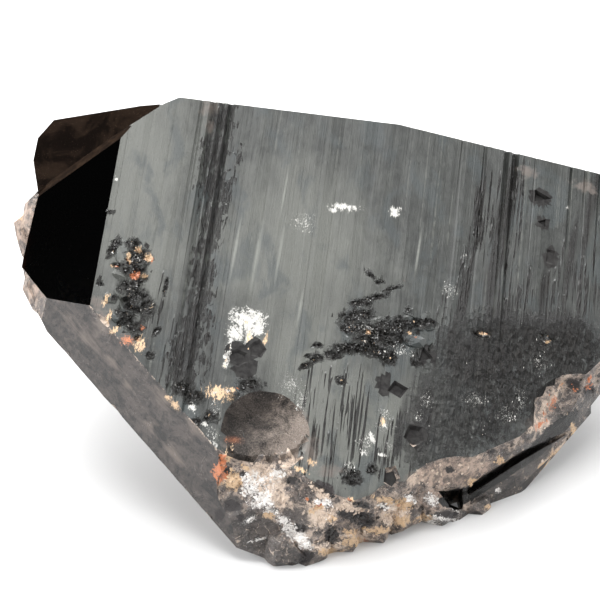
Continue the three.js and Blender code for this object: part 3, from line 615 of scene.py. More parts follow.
class Shader:
    """One material's nodes, each added with its inputs: a number, a colour or another's output.

    Its colour is built up in layers of paint, and a paint's name means a colour of the settings.
    """

    def __init__(self, name, colours=None):
        self.colours = colours
        self.material = bpy.data.materials.new(name)
        self.material.use_nodes = True
        self.tree = self.material.node_tree
        self.tree.nodes.clear()
        if colours:
            self.place = self.crystal_place()

    def add(self, kind, inputs, **settings):
        node = self.tree.nodes.new(kind)
        for key, value in settings.items():
            setattr(node, key, value)
        for key, value in inputs.items():
            if isinstance(value, bpy.types.NodeSocket):
                self.tree.links.new(value, node.inputs[key])
            else:
                node.inputs[key].default_value = value
        return node

    def measured(self, place, **inputs):
        """A place measured from a middle, along turned axes, in units of a scale."""
        inputs = {"Vector": place, **inputs}
        return self.add("ShaderNodeMapping", inputs, vector_type="TEXTURE").outputs["Vector"]

    def crystal_place(self):
        """The place in crystal coordinates, in millimetres."""
        place = self.add("ShaderNodeTexCoord", {}).outputs["Object"]
        return self.measured(place, Location=FACE_MIDDLE, Rotation=tuple(ATTITUDE), Scale=(MM, MM, MM))

    def stretched(self, along, across=1.0):
        """A place on which patterns are drawn out, along the striations by 1 / along."""
        inputs = {"Vector": self.place, "Scale": (across, along, 1.0)}
        return self.add("ShaderNodeMapping", inputs).outputs["Vector"]

    def turned(self, angle, **inputs):
        """The place measured along axes that are turned about z."""
        return self.measured(self.place, Rotation=(0.0, 0.0, math.radians(angle)), **inputs)

    def drawn_out(self, angle, length):
        """A place on which patterns run at an angle from x and are drawn out by a length."""
        return self.turned(angle, Scale=(length, 1.0, 1.0))

    def warped(self, place, scale, amount):
        """A place pushed about by noise, so that patterns on it lose their straight lines."""
        inputs = {"Vector": place, "Scale": scale, "Detail": 2.0}
        push = self.add("ShaderNodeTexNoise", inputs).outputs["Color"]
        push = self.vector("SUBTRACT", {0: push, 1: (0.5, 0.5, 0.5)})
        push = self.vector("SCALE", {0: push, "Scale": amount})
        return self.vector("ADD", {0: place, 1: push})

    def vector(self, operation, inputs, output="Vector"):
        return self.add("ShaderNodeVectorMath", inputs, operation=operation).outputs[output]

    def length(self, place):
        return self.vector("LENGTH", {0: place}, "Value")

    def along(self, axis):
        return self.add("ShaderNodeSeparateXYZ", {"Vector": self.place}).outputs[axis]

    def field(self, name):
        return self.add("ShaderNodeAttribute", {}, attribute_name=name).outputs["Fac"]

    def noise(self, place, scale, detail=3.0, roughness=0.55, distortion=0.0):
        inputs = {"Vector": place, "Scale": scale, "Detail": detail, "Roughness": roughness}
        return self.add("ShaderNodeTexNoise", {**inputs, "Distortion": distortion}).outputs["Fac"]

    def facets(self, place, scale):
        """Small pyramids side by side, for a bump."""
        voronoi = self.add("ShaderNodeTexVoronoi", {"Vector": place, "Scale": scale}, distance="MANHATTAN")
        return voronoi.outputs["Distance"]

    def cells(self, place, scale):
        """Angular cells, each of one random value from 0 to 1."""
        colour = self.add("ShaderNodeTexVoronoi", {"Vector": place, "Scale": scale}).outputs["Color"]
        return self.add("ShaderNodeSeparateColor", {"Color": colour}).outputs["Red"]

    def strip(self, middle, half_width, half_length, angle):
        """1 on the middle of a long narrow ellipse on the front face, and 0 from its rim outwards."""
        inside = self.turned(angle, Location=(*middle, 0.0), Scale=(half_width, half_length, 1000.0))
        return self.ramp(self.length(inside), 0.1, 1.0, 1.0, 0.0)

    def fan(self, middle, grain):
        """Rays from a point of the front face, which give way to a grain farther off."""
        centred = self.turned(90, Location=(*middle, 0.0))
        turn = self.add("ShaderNodeTexGradient", {"Vector": centred}, gradient_type="RADIAL").outputs["Fac"]
        far = self.length(centred)
        polar = self.add("ShaderNodeCombineXYZ", {"X": self.times(turn, 34.0), "Y": self.times(far, 0.7)})
        rays = self.noise(polar.outputs["Vector"], 1.0, 5, 0.85)
        near = self.ramp(far, *FAN_REACH, 1.0, 0.0)
        return self.sum(self.times(rays, near), self.times(grain, self.rest(near)))

    def ramp(self, value, low, high, start=0.0, end=1.0):
        """Runs smoothly from start to end while the value runs from low to high."""
        inputs = {"Value": value, "From Min": low, "From Max": high, "To Min": start, "To Max": end}
        return self.add("ShaderNodeMapRange", inputs, interpolation_type="SMOOTHSTEP").outputs["Result"]

    def math(self, operation, *values):
        total = values[0]
        for value in values[1:]:
            total = self.add("ShaderNodeMath", {0: total, 1: value}, operation=operation).outputs[0]
        return total

    def sum(self, *values):
        return self.math("ADD", *values)

    def times(self, *values):
        return self.math("MULTIPLY", *values)

    def most(self, *values):
        return self.math("MAXIMUM", *values)

    def rest(self, share):
        """What a share leaves of 1."""
        return self.sum(1.0, self.times(share, -1.0))

    def weigh(self, *pairs):
        """The sum of values, each times its own factor."""
        return self.sum(*[value if factor == 1 else self.times(value, factor) for value, factor in pairs])

    def mix(self, share, low, high):
        """A colour between two, by the share of the second."""
        inputs = {0: share, 6: self.colour_of(low), 7: self.colour_of(high)}
        return self.add("ShaderNodeMix", inputs, data_type="RGBA").outputs[2]

    def colour_of(self, paint):
        """The colour of the settings that a name means; anything else stays what it is."""
        return getattr(self.colours, paint) if isinstance(paint, str) else paint

    def base(self, share, low, high):
        """The first coat: a colour between two."""
        self.colour = self.mix(share, low, high)

    def paint(self, share, paint):
        """A coat over what is there, as thick as its share."""
        self.colour = self.mix(share, self.colour, paint)

    def spot(self, name, grain, factor, low, high):
        """1 inside a field's patches, with a rim broken up by a grain."""
        value = self.weigh((self.field(name), 1), (grain, factor))
        return self.ramp(value, low + factor / 2, high + factor / 2)

    def spots(self, paint, *spot):
        """A coat in a field's patches."""
        self.paint(self.spot(*spot), paint)

    def bump(self, height, distance, strength=1.0):
        inputs = {"Height": height, "Distance": distance * MM, "Strength": strength}
        return self.add("ShaderNodeBump", inputs).outputs["Normal"]

    def surface(self, inputs):
        """The finished material, from its surface's own inputs."""
        surface = self.add("ShaderNodeBsdfPrincipled", inputs)
        self.add("ShaderNodeOutputMaterial", {"Surface": surface.outputs[0]})
        return self.material

    def quartz(self, roughness, normal, specular=0.5, ior=QUARTZ_IOR):
        """The finished material of quartz that lets no light through."""
        return self.surface({"Base Color": self.colour, "Roughness": roughness, "Normal": normal,
                             "Specular IOR Level": specular, "IOR": ior})

    def clear_quartz(self, roughness, normal, transmission):
        """The finished material of clear smoky quartz."""
        surface = self.add("ShaderNodeBsdfPrincipled", {
            "Base Color": self.colour, "Roughness": roughness, "Normal": normal, "IOR": QUARTZ_IOR,
            "Transmission Weight": transmission})
        inside = {"Color": self.colours.smoke, "Density": self.colours.smoke_density}
        smoke = self.add("ShaderNodeVolumeAbsorption", inside)
        self.add("ShaderNodeOutputMaterial", {"Surface": surface.outputs[0], "Volume": smoke.outputs[0]})
        return self.material


def striated_face(s):
    """The front prism face: satin grey streaks with pale flakes, black streaks and a dark band."""
    place = s.place

    # Grains of several sizes, most of them drawn out along the striations
    band = s.noise(s.stretched(0.02), 0.22, 3, 0.6)
    fine = s.noise(s.stretched(0.03), 2.6, 4, 0.75)
    cloud = s.noise(place, 0.07, 4, 0.62, 0.5)
    mottle = s.noise(place, 0.55, 5, 0.7)
    grit = s.noise(place, 3.4, 5, 0.85)
    smear = s.noise(s.stretched(0.35), 0.5, 5, 0.7, 0.6)
    steps = s.noise(s.stretched(0.006), 0.55, 2, 0.6)
    tufts = s.noise(s.stretched(0.3), 2.2, 4, 0.85)
    needles = s.cells(s.warped(s.stretched(0.035), 1.6, 0.5), 3.4)
    rods = s.cells(s.warped(s.stretched(0.006), 1.2, 0.2), 2.6)
    slivers = s.cells(s.warped(s.stretched(0.3), 1.2, 0.8), 2.3)
    crumbs = s.cells(s.warped(s.stretched(0.45), 1.1, 0.8), 3.0)

    # Satin grey with hazy, cool and shaded areas, pale strips and hairs
    tone = s.weigh((band, 0.13), (fine, 0.22), (cloud, 0.17), (mottle, 0.18), (smear, 0.15), (grit, 0.15))
    s.base(s.ramp(tone, 0.41, 0.59), "face_dark", "face_light")
    hazy = s.weigh((s.field("hazy"), 1), (cloud, 1), (smear, 0.9), (band, 0.5))
    s.paint(s.ramp(hazy, 0.4, 1.9, 0.0, 0.85), "face_haze")
    cool = s.noise(s.stretched(0.5), 0.16, 4, 0.6, 0.4)
    s.paint(s.ramp(cool, 0.5, 0.64, 0.0, 0.7), "face_cool")
    strips = s.most(*[s.strip(*strip) for strip in PALE_STRIPS])
    s.paint(s.times(strips, s.ramp(mottle, 0.3, 0.55, 0.5, 1.0)), "face_strip")
    shaded = s.weigh((s.field("shaded"), 1), (fine, 1.2), (smear, 0.6))
    s.paint(s.ramp(shaded, 0.8, 1.6, 0.0, 0.75), "etched_brown")
    hairs = s.ramp(s.noise(s.stretched(0.012), 1.6, 2, 0.5), 0.63, 0.67)
    s.paint(s.times(hairs, s.ramp(mottle, 0.35, 0.6), 0.6), "face_haze")

    # Dark troughs, black streaks and the dark band
    troughs = s.ramp(s.field("shaded"), -0.3, 0.4)
    shade = s.times(troughs, s.ramp(s.weigh((steps, 1), (fine, 0.2)), 0.52, 0.68))
    s.paint(s.times(shade, 0.9), "etched")
    lines = s.sum(s.times(needles, s.rest(troughs)), s.times(rods, troughs))
    streaked = s.ramp(s.weigh((lines, 1), (s.field("streaked"), 0.5)), 0.86, 0.92)
    banded = s.ramp(s.weigh((slivers, 1), (s.field("band"), 1.05), (needles, 0.25)), 0.8, 0.88)
    banded = s.times(banded, s.ramp(s.sum(fine, grit), 0.85, 1.1, 0.55, 1.0))

    # Rough ground at the lower right, with gaps and scratches across it
    rough = s.weigh((s.field("rough"), 1), (mottle, 1.6), (grit, 0.8), (crumbs, 0.3), (needles, 0.25))
    patches = s.noise(s.stretched(0.6), 0.8, 6, 0.85, 0.9)
    gaps = s.ramp(s.weigh((needles, 0.12), (crumbs, 0.2), (patches, 1)), 0.7, 0.84, 1.0, 0.25)
    scratches = s.ramp(s.noise(s.stretched(1.0, 0.3), 2.2, 4, 0.8, 0.6), 0.6, 0.68, 1.0, 0.5)
    farther = s.ramp(s.along("X"), 22, 38, 0.55, 1.0)
    rough = s.times(s.ramp(rough, 1.35, 1.75), gaps, scratches, farther)

    # Halos round the etched patches, and specks
    halo = s.ramp(s.weigh((s.field("etched"), 1), (grit, 1.6), (mottle, 1.6)), 1.3, 1.9)
    specks = s.times(s.ramp(grit, 0.64, 0.68), s.ramp(mottle, 0.4, 0.6))
    dark = s.most(s.times(streaked, 0.92), banded, s.times(rough, 0.92), s.times(halo, 0.8),
                  s.times(specks, 0.6))
    deep = s.mix(s.ramp(slivers, 0.3, 0.9), "etched", "etched_brown")
    s.paint(dark, deep)

    # Clouded, violet, white, cream and rusty marks, and white specks as painted glints
    clouded = s.times(s.spot("beige", mottle, 2.6, 0.0, 0.9), 0.8)
    s.paint(s.times(clouded, 0.8), "clouded")
    s.spots("violet_dark", "dark", mottle, 2.0, 0.1, 0.3)
    s.spots("pale", "white", s.fan(FAN_ROOT, tufts), 4.6, 0.25, 0.5)
    # Painted highlights: white specks where the face sparkles, in the pale colour
    glints = s.noise(s.stretched(0.6), 3.0, 5, 0.95)
    glints = s.ramp(s.weigh((glints, 1), (s.field("sparkle"), 0.08)), 0.61, 0.65)
    glitter = s.most(s.field("sparkle"), s.times(s.field("rough"), 0.3))
    sparkle = s.times(s.ramp(s.weigh((glitter, 1), (mottle, 1.6)), 0.6, 1.4), glints)
    s.paint(s.times(sparkle, 0.9), "pale")
    s.spots("cream", "cream", tufts, 4.6, 0.3, 0.6)
    s.spots("rust", "rust", grit, 4.0, 0.35, 0.7)

    # Rougher and more broken where it is dark
    satin = s.ramp(tone, 0.42, 0.58, 0.3, 0.24)
    roughness = s.weigh((satin, 1), (dark, 0.1), (rough, 0.5), (clouded, 0.15))
    splinters = s.facets(s.stretched(0.16), 3.0)
    plates = s.facets(s.warped(s.stretched(0.45), 0.8, 0.9), 1.1)
    relief = s.weigh((fine, 0.25), (mottle, 0.1), (grit, 0.06), (dark, -0.3),
                     (s.times(dark, splinters), 2.4), (s.times(rough, plates), 6.0))
    return s.quartz(roughness, s.bump(relief, 0.22, 0.8), 0.27)


def etched_quartz(s):
    """Etched patches of the front face: black grains with grey, cream and rusty bits."""
    place = s.place
    mottle = s.noise(place, 0.6, 4, 0.7)
    grit = s.noise(place, 3.4, 5, 0.9)
    crumbs = s.cells(s.warped(place, 1.6, 0.6), 3.0)
    s.base(s.ramp(mottle, 0.4, 0.62), "etched", "etched_brown")
    s.paint(s.ramp(crumbs, 0.62, 0.7, 0.0, 0.7), "gap_grey")
    s.spots("violet_dark", "dark", mottle, 1.2, 0.1, 0.3)
    s.spots("cream", "cream", grit, 4.0, 0.2, 0.5)
    s.spots("rust", "rust", grit, 4.0, 0.25, 0.6)
    # Painted highlights: white specks in the pale colour that stand in for glints
    glints = s.times(s.ramp(s.noise(place, 3.4, 5, 0.95), 0.65, 0.68), 0.9)
    s.paint(glints, "pale")
    return s.quartz(0.4, s.bump(s.sum(grit, crumbs), 0.3, 0.8), 0.16)


def pit_floor(s):
    """Smooth dark floors of the etch pits."""
    mottle = s.noise(s.place, 0.9, 4, 0.7)
    s.base(s.ramp(mottle, 0.35, 0.65), "pit_dark", "pit_grey")
    return s.quartz(0.4, s.bump(mottle, 0.1, 0.4), 0.08)


def clear_morion(s):
    """Clear black tip face: smoky quartz that lets no light through where it is thick."""
    ripple = s.noise(s.place, 0.25, 2)
    s.colour = s.colour_of("clear_tint")
    return s.clear_quartz(0.04, s.bump(ripple, 0.05, 0.4), 1.0)


def brown_plate(s):
    """The thin plate behind the black face: clear brown quartz with a faint inner veil."""
    place = s.place
    ripple = s.noise(place, 0.25, 2)
    mottle = s.noise(place, 0.14, 5, 0.65, 0.6)
    s.base(s.ramp(mottle, 0.42, 0.6), "plate_dark", "plate_light")
    relief = s.weigh((ripple, 1), (mottle, 0.4))
    return s.clear_quartz(0.05, s.bump(relief, 0.08, 0.4), 0.97)


def rim_quartz(s):
    """Brown rims and chips beside the clear faces, kept nearly black as painted shade along the edge."""
    soft = s.noise(s.place, 0.5, 5, 0.7, 0.4)
    s.base(s.ramp(soft, 0.42, 0.66), "rim_dark", "rim_light")
    s.spots("cream", "cream", soft, 1.0, 0.1, 0.4)
    return s.quartz(0.7, s.bump(soft, 0.3, 0.6), 0.06, 1.12)


def lower_tip_face(s):
    """The greyish tip face at the lower left, mottled, with pinkish veils near its upper end."""
    place = s.place
    flow = s.noise(s.drawn_out(-42, 5), 0.7, 5, 0.65, 0.4)
    mottle = s.noise(place, 0.22, 6, 0.75, 0.5)
    grit = s.noise(place, 3.4, 5, 0.9)
    crumbs = s.noise(place, 1.1, 5, 0.8)
    blotches = s.noise(s.drawn_out(-42, 1.8), 0.32, 5, 0.7, 1.2)
    tone = s.weigh((mottle, 0.3), (blotches, 0.3), (flow, 0.1), (crumbs, 0.3))
    s.base(s.ramp(tone, 0.43, 0.57), "tip_grey", "tip_brown")
    s.paint(s.times(s.spot("veil", flow, 2.6, 0.0, 1.0), 0.8), "clouded")
    s.spots("clouded", "beige", crumbs, 2.4, 0.0, 0.6)
    s.spots("violet_dark", "dark", crumbs, 2.4, 0.1, 0.3)
    s.spots("pale", "white", grit, 4.0, 0.2, 0.5)
    s.spots("cream", "cream", grit, 4.0, 0.2, 0.6)
    s.spots("rust", "rust", crumbs, 3.0, 0.25, 0.5)
    s.paint(s.ramp(grit, 0.6, 0.66, 0.0, 0.5), "etched")
    dust = s.ramp(s.noise(place, 2.6, 5, 0.95), 0.63, 0.67, 0.0, 0.6)
    s.paint(dust, "clouded")
    edge = s.weigh((s.along("Z"), 1), (crumbs, 3.4))
    s.paint(s.ramp(edge, 1.5, 2.0, 0.0, 0.7), "broken_beige")
    relief = s.weigh((mottle, 0.8), (flow, 0.3), (crumbs, 0.5), (grit, 0.2))
    return s.quartz(s.ramp(mottle, 0.3, 0.7, 0.16, 0.3), s.bump(relief, 0.3, 0.5))


def round_scar(s):
    """The round spall: dusty dark grey at its upper left, clouded beige towards its lower right."""
    place = s.place
    soft = s.noise(place, 0.3, 6, 0.7, 0.5)
    grit = s.noise(place, 3.5, 5, 0.9)
    side = s.weigh((s.along("X"), 0.17), (s.along("Y"), -0.06), (soft, 2.6), (grit, 1.2))
    dusty = s.ramp(s.weigh((soft, 0.5), (grit, 0.5)), 0.43, 0.57)
    s.base(dusty, "scar_dark", "scar_dust")
    beige = s.mix(s.ramp(grit, 0.4, 0.6), "clouded", "scar_pale")
    s.paint(s.ramp(side, 2.8, 4.1), beige)
    s.paint(s.times(s.spot("rust", grit, 3.0, 0.0, 1.2), 0.35), "rust")
    s.spots("pale", "bright", grit, 5.0, 0.5, 0.9)
    s.paint(s.ramp(grit, 0.6, 0.64, 0.0, 0.6), "scar_pale")
    return s.quartz(0.5, s.bump(s.weigh((grit, 0.5), (soft, 0.6)), 0.5, 0.7), 0.12)


def broken_quartz(s):
    """Broken quartz: beige and pinkish white with dark, glassy and rusty places."""
    place = s.place
    soft = s.noise(place, 0.22, 5, 0.65, 0.8)
    patchy = s.noise(place, 0.6, 5, 0.78, 0.6)
    grit = s.noise(place, 2.8, 5, 0.9)
    chips = s.cells(s.warped(place, 0.9, 0.9), 1.1)
    flecks = s.cells(s.warped(place, 2.0, 0.4), 3.2)
    fibres = s.noise(s.stretched(0.16), 1.5, 5, 0.75)

    # Grey and brown, with lumps of beige
    tone = s.weigh((soft, 0.5), (patchy, 0.3), (chips, 0.2))
    s.base(s.ramp(tone, 0.4, 0.62), "broken_grey", "broken_brown")
    lumps = s.weigh((patchy, 1), (chips, 0.12))
    s.paint(s.times(s.ramp(lumps, 0.5, 0.7), 0.5), "broken_beige")

    # Dark glassy faces with pale veins
    glass = s.spot("glass", soft, 1.4, -0.1, 0.25)
    drawn = s.noise(s.drawn_out(42, 6), 1.3, 4, 0.7)
    smoky = s.ramp(s.weigh((soft, 0.4), (patchy, 0.25), (drawn, 0.35)), 0.42, 0.58)
    smoky = s.mix(smoky, "smoky_dark", "smoky_grey")
    veins = s.math("ABSOLUTE", s.sum(s.noise(place, 0.2, 2, 0.5, 1.5), -0.5), 0.0)
    veins = s.times(s.ramp(veins, 0.0, 0.012, 1.0, 0.0), s.ramp(patchy, 0.46, 0.6), 0.9)
    s.paint(s.times(glass, 0.95), s.mix(veins, smoky, "broken_beige"))

    # Beige patches and smooth pinkish ledges
    beige = s.spot("beige", patchy, 2.0, 0.0, 0.6)
    shine = s.weigh((tone, 0.5), (fibres, 0.5))
    silky = s.mix(s.ramp(shine, 0.38, 0.55), "broken_brown", "broken_beige")
    s.paint(beige, silky)
    ledge = s.ramp(s.weigh((s.field("smooth"), 1), (patchy, 0.5)), 0.2, 0.5)
    pinkish = s.mix(s.ramp(shine, 0.43, 0.57), "ledge_dark", "ledge")
    s.paint(s.times(ledge, 0.8), pinkish)
    s.spots("broken_white", "bright", grit, 5.0, 0.3, 0.7)
    s.spots("cream", "cream", patchy, 4.0, 0.1, 0.6)
    s.spots("rust", "rust", patchy, 4.0, 0.2, 0.7)

    # Dark specks, and white specks as painted glints, both fewer where the quartz is smooth
    specks = s.most(s.ramp(grit, 0.56, 0.66), s.ramp(flecks, 0.8, 0.94))
    hold = s.most(s.times(glass, 0.6), s.times(beige, 0.65), s.ramp(s.field("smooth"), 0.0, 0.3))
    s.paint(s.times(specks, s.ramp(hold, 0.0, 1.0, 0.75, 0.1)), "broken_dark")
    lit = s.ramp(s.noise(place, 3.6, 4, 0.95), 0.61, 0.65)
    s.paint(s.times(lit, s.ramp(hold, 0.0, 1.0, 0.85, 0.25)), "broken_white")
    s.spots("violet_dark", "dark", patchy, 2.6, 0.1, 0.4)
    # Painted shade: the crack and the gap beside it are painted in the near-black etched colour
    s.paint(s.ramp(s.field("hollow"), 0.4, 0.6), "etched")
    relief = s.weigh((patchy, 0.5), (grit, 0.35), (chips, 0.5), (fibres, 0.3))
    return s.quartz(s.ramp(glass, 0.0, 1.0, 0.36, 0.14), s.bump(relief, 0.5, 0.7), 0.45)


def rear_quartz(s):
    """The crystals behind and underneath: dark, glossy and a little dusty."""
    place = s.place
    soft = s.noise(place, 0.14, 5, 0.6)
    fine = s.noise(s.stretched(0.06), 1.6, 3)
    dust = s.ramp(s.noise(place, 0.5, 6, 0.75), 0.55, 0.75)
    s.base(s.ramp(soft, 0.35, 0.65), "rear_dark", "rear_brown")
    s.paint(s.times(dust, 0.35), "clouded")
    relief = s.weigh((fine, 0.5), (soft, 1))
    return s.quartz(s.sum(s.times(dust, 0.25), 0.16), s.bump(relief, 0.12, 0.5))


def strewn_grains(s, steps, roughness):
    """Grains whose colour runs through several steps by each grain's own tint."""
    tint = s.field("tint")
    grit = s.noise(s.place, 4.0, 3, 0.7)
    s.colour = s.colour_of(steps[0])
    for index, step in enumerate(steps[1:]):
        start = (index + 1) / len(steps)
        s.paint(s.ramp(tint, start - 0.03, start + 0.03), step)
    s.paint(s.ramp(grit, 0.4, 0.75, 0.0, 0.4), "grain_dark")
    return s.surface({"Base Color": s.colour, "Roughness": roughness, "IOR": QUARTZ_IOR})


# Settings that a user would change

def colour_setting(name, description, *default):
    return bpy.props.FloatVectorProperty(
        name=name, description=description, default=rgb(*default), subtype="COLOR", size=4,
        min=0.0, max=1.0)


def number_setting(name, description, default, kind=bpy.props.FloatProperty, least=0.0, **limits):
    return kind(name=name, description=description, default=default, min=least, **limits)


def count_setting(name, description, default):
    return number_setting(name, description, default, bpy.props.IntProperty, 1)


class MorionColours(bpy.types.PropertyGroup):
    """Colours of the quartz, its broken surfaces and its crusts."""

    face_dark: colour_setting("Face, dark", "Dark streaks of the front face", 0.012, 0.0135, 0.0125)
    face_light: colour_setting("Face, light", "Light streaks of the front face", 0.049, 0.052, 0.048)
    face_cool: colour_setting("Face, cool", "Bluish streaks of the front face", 0.036, 0.043, 0.044)
    face_strip: colour_setting("Face, strips", "Pale strips of the front face", 0.15, 0.155, 0.14)
    face_haze: colour_setting("Face haze", "Hazy areas of the front face", 0.098, 0.101, 0.09)
    # The etched colour also paints the shade in the crack beside the slab
    etched: colour_setting("Etched", "Etched patches and troughs", 0.004, 0.0035, 0.003)
    etched_brown: colour_setting("Etched, brown", "Brown grains in etched patches", 0.01, 0.0085, 0.0075)
    gap_grey: colour_setting("Etched, grey", "Grey gaps in etched patches", 0.04, 0.041, 0.038)
    violet_dark: colour_setting("Violet brown", "Dark violet-brown patches", 0.013, 0.009, 0.009)
    pit_dark: colour_setting("Pits, dark", "Dark parts of the pits' floors", 0.012, 0.011, 0.011)
    pit_grey: colour_setting("Pits, grey", "Greyer parts of the pits' floors", 0.03, 0.029, 0.028)
    clouded: colour_setting("Clouded", "Clouded, pinkish beige quartz", 0.135, 0.11, 0.095)
    # The pale colour also paints the glints: white specks that stand in for highlights
    pale: colour_setting("Pale flakes", "White flakes and sugary grains", 0.52, 0.51, 0.48)
    cream: colour_setting("Cream", "Cream-coloured crust", 0.56, 0.39, 0.24)
    rust: colour_setting("Rust", "Orange and rusty crust", 0.46, 0.16, 0.07)
    smoke: colour_setting("Smoke", "What the clear quartz lets through", 0.45, 0.25, 0.15)
    clear_tint: colour_setting("Clear tint", "Tint of the clear black face's surface", 0.9, 0.85, 0.8)
    plate_dark: colour_setting("Plate, dark", "Dark parts of the brown plate", 0.12, 0.08, 0.062)
    plate_light: colour_setting("Plate, light", "Light parts of the brown plate", 0.42, 0.27, 0.19)
    # The rims' colours are brown quartz darkened nearly to black as painted shade
    rim_dark: colour_setting("Rim, dark", "Dark parts of the brown rims", 0.008, 0.005, 0.0035)
    rim_light: colour_setting("Rim, light", "Light parts of the brown rims", 0.018, 0.011, 0.007)
    tip_grey: colour_setting("Lower tip, grey", "Grey of the lower tip face", 0.013, 0.012, 0.0118)
    tip_brown: colour_setting("Lower tip, brown", "Brown of the lower tip face", 0.066, 0.055, 0.05)
    scar_dark: colour_setting("Scar, dark", "Dark side of the round scar", 0.01, 0.0085, 0.0075)
    scar_dust: colour_setting("Scar, dust", "Dust on the round scar", 0.045, 0.037, 0.032)
    scar_pale: colour_setting("Scar, pale", "Pale side of the round scar", 0.24, 0.2, 0.17)
    broken_beige: colour_setting("Broken, beige", "Beige broken quartz", 0.6, 0.48, 0.385)
    broken_white: colour_setting("Broken, white", "Pinkish white broken quartz", 0.8, 0.77, 0.74)
    broken_grey: colour_setting("Broken, grey", "Grey broken quartz", 0.072, 0.06, 0.055)
    broken_brown: colour_setting("Broken, brown", "Brown broken quartz", 0.18, 0.143, 0.122)
    broken_dark: colour_setting("Broken, dark", "Dark specks in broken quartz", 0.012, 0.01, 0.009)
    ledge: colour_setting("Ledge", "Smooth pinkish ledges", 0.36, 0.265, 0.21)
    ledge_dark: colour_setting("Ledge, dark", "Dark streaks of the ledges", 0.085, 0.065, 0.055)
    smoky_dark: colour_setting("Smoky, dark", "Dark glassy quartz", 0.022, 0.02, 0.019)
    smoky_grey: colour_setting("Smoky, grey", "Greyish glassy quartz", 0.09, 0.077, 0.071)
    rear_dark: colour_setting("Rear, dark", "Dark quartz at the back", 0.012, 0.01, 0.009)
    rear_brown: colour_setting("Rear, brown", "Brown quartz at the back", 0.04, 0.031, 0.026)
    grain_dark: colour_setting("Grains, dark", "Dark dust on the strewn grains", 0.02, 0.018, 0.016)
    smoke_density: number_setting(
        "Smoke density", "How fast clear quartz darkens with depth, per metre", 4000.0)


class MorionSizes(bpy.types.PropertyGroup):
    """Sizes of the relief, in millimetres, and how many grains there are."""

    broken_height: number_setting("Broken relief", "Height of the relief on broken surfaces", 1.0, max=2.0)
    etched_depth: number_setting("Etched depth", "Depth of the etched patches", 0.5, max=1.0)
    edge_grains: count_setting("Edge grains", "How many grains lie on the broken edge", 5200)
    crust_grains: count_setting("Crust grains", "How many grains are in the front face's crusts", 4600)
    flakes: count_setting("Flakes", "How many pale flakes lie along the front face's grain", 2600)


class MorionStage(bpy.types.PropertyGroup):
    """The floor and the lights, whose power is in watts."""

    floor_size: number_setting("Floor", "Side of the floor", 4.0, least=0.5, unit="LENGTH")
    floor_glow: number_setting("Floor glow", "How brightly the floor is lit from below", 0.1)
    overhead_light: number_setting("Overhead light", "Power of the overhead softbox", 11.0)
    left_light: number_setting("Left light", "Power of the light at the left", 24.0)
    right_light: number_setting("Right light", "Power of the light at the right", 16.0)
    back_light: number_setting("Back light", "Power of the light behind", 46.0)


# Which face gets which finish

MAKERS = [striated_face, etched_quartz, pit_floor, clear_morion, brown_plate, rim_quartz, lower_tip_face,
          round_scar, broken_quartz, rear_quartz]
SLOTS = [maker.__name__ for maker in MAKERS]


def kind_of_face(points, normals):
    """Which finish each face of the solid gets, by its place and its outward direction."""
    x, y, z = points.T
    across, up = on_front_plane(points)[:, :2].T
    towards_top = normals[:, 1]
    towards_front = normals[:, 2]
    black = points @ face_normal("r", 1)
    lower = points @ face_normal("r", 2)
    seen = np.sum((VIEWPOINT - points) * normals, axis=1) > 0

    # The chips at the far left, and what lies behind or faces away from the camera
    left_chips = (across < -42.5) & between(up, -22, 13)
    turned_away = (towards_top > 0.3) & (y > 5) & (z < -GROOVE_DEPTH)
    behind = ((z < -11.4) & (y > -22) | (z < -16) | turned_away) & ~left_chips
    # The rim of the clear tip, the black face and the brown plate behind it
    rim = (across < -20) & (up > 9.5) & between(z, -20, -0.5) & (black < BLACK_TIP_DISTANCE - 0.1) & seen
    on_black = (normals @ face_normal("r", 1) > SAME_DIRECTION) & (black > BROWN_PLATE_DISTANCE - SAME_FACE)
    plate = (x < -22) & (y > 17.5) & between(z, -18, -1.0) & (black < 18.3) & (y - x > 52)
    plate &= seen | (towards_top > 0.97) | (normals[:, 0] < -0.85)
    # The lower tip face; the front face with the sides of its grooves and its etched ground
    on_lower = normals @ face_normal("r", 2) > SAME_DIRECTION
    on_lower &= np.abs(lower - LOWER_TIP_DISTANCE) < SAME_FACE
    groove_side = (np.abs(towards_top) < 0.2) & (towards_front > 0.4)
    front = (z > -GROOVE_DEPTH) & ((towards_front > 0.985) | groove_side)
    front |= (z > -ETCHED_DEPTH) & (y > -24) & (lower < 28) & (x * 0.74 - y * 0.54 < 38)
    front |= z > 0.01
    # The upper side faces, and the round scar's floor
    upper_side = points @ UPPER_SIDE > UPPER_SIDE_DISTANCE
    upper_side |= points @ UPPER_CORNER > UPPER_CORNER_DISTANCE
    upper_side &= between(towards_top, 0.5, 0.97) & (z > -18)
    scar = np.hypot(x - SCAR[0], y - SCAR[1]) < SCAR[2]
    scar &= between(z, -SCAR_DEPTH, -0.15) & (towards_front > 0.85)

    # All else is broken quartz, and a later finish goes over an earlier one
    kinds = np.full(len(points), SLOTS.index("broken_quartz"))
    finishes = [
        ("rear_quartz", behind), ("rim_quartz", rim), ("clear_morion", on_black), ("brown_plate", plate),
        ("lower_tip_face", on_lower), ("striated_face", front), ("rear_quartz", upper_side),
        ("round_scar", scar),
    ]
    for name, faces in finishes:
        kinds[faces] = SLOTS.index(name)
    return kinds


def etch_kind(kinds, points):
    """Gives the front face's etched patches and pits their own finishes."""
    front = kinds == SLOTS.index("striated_face")
    etched = patch_cover(points, PATCHES["etched"]) + lattice_noise(points, 1.5) > 0.14
    kinds[front & etched] = SLOTS.index("etched_quartz")
    pits = (points[:, 2] < -0.05) & (patch_cover(points, PITS) > 0)
    kinds[front & pits] = SLOTS.index("pit_floor")
    return kinds


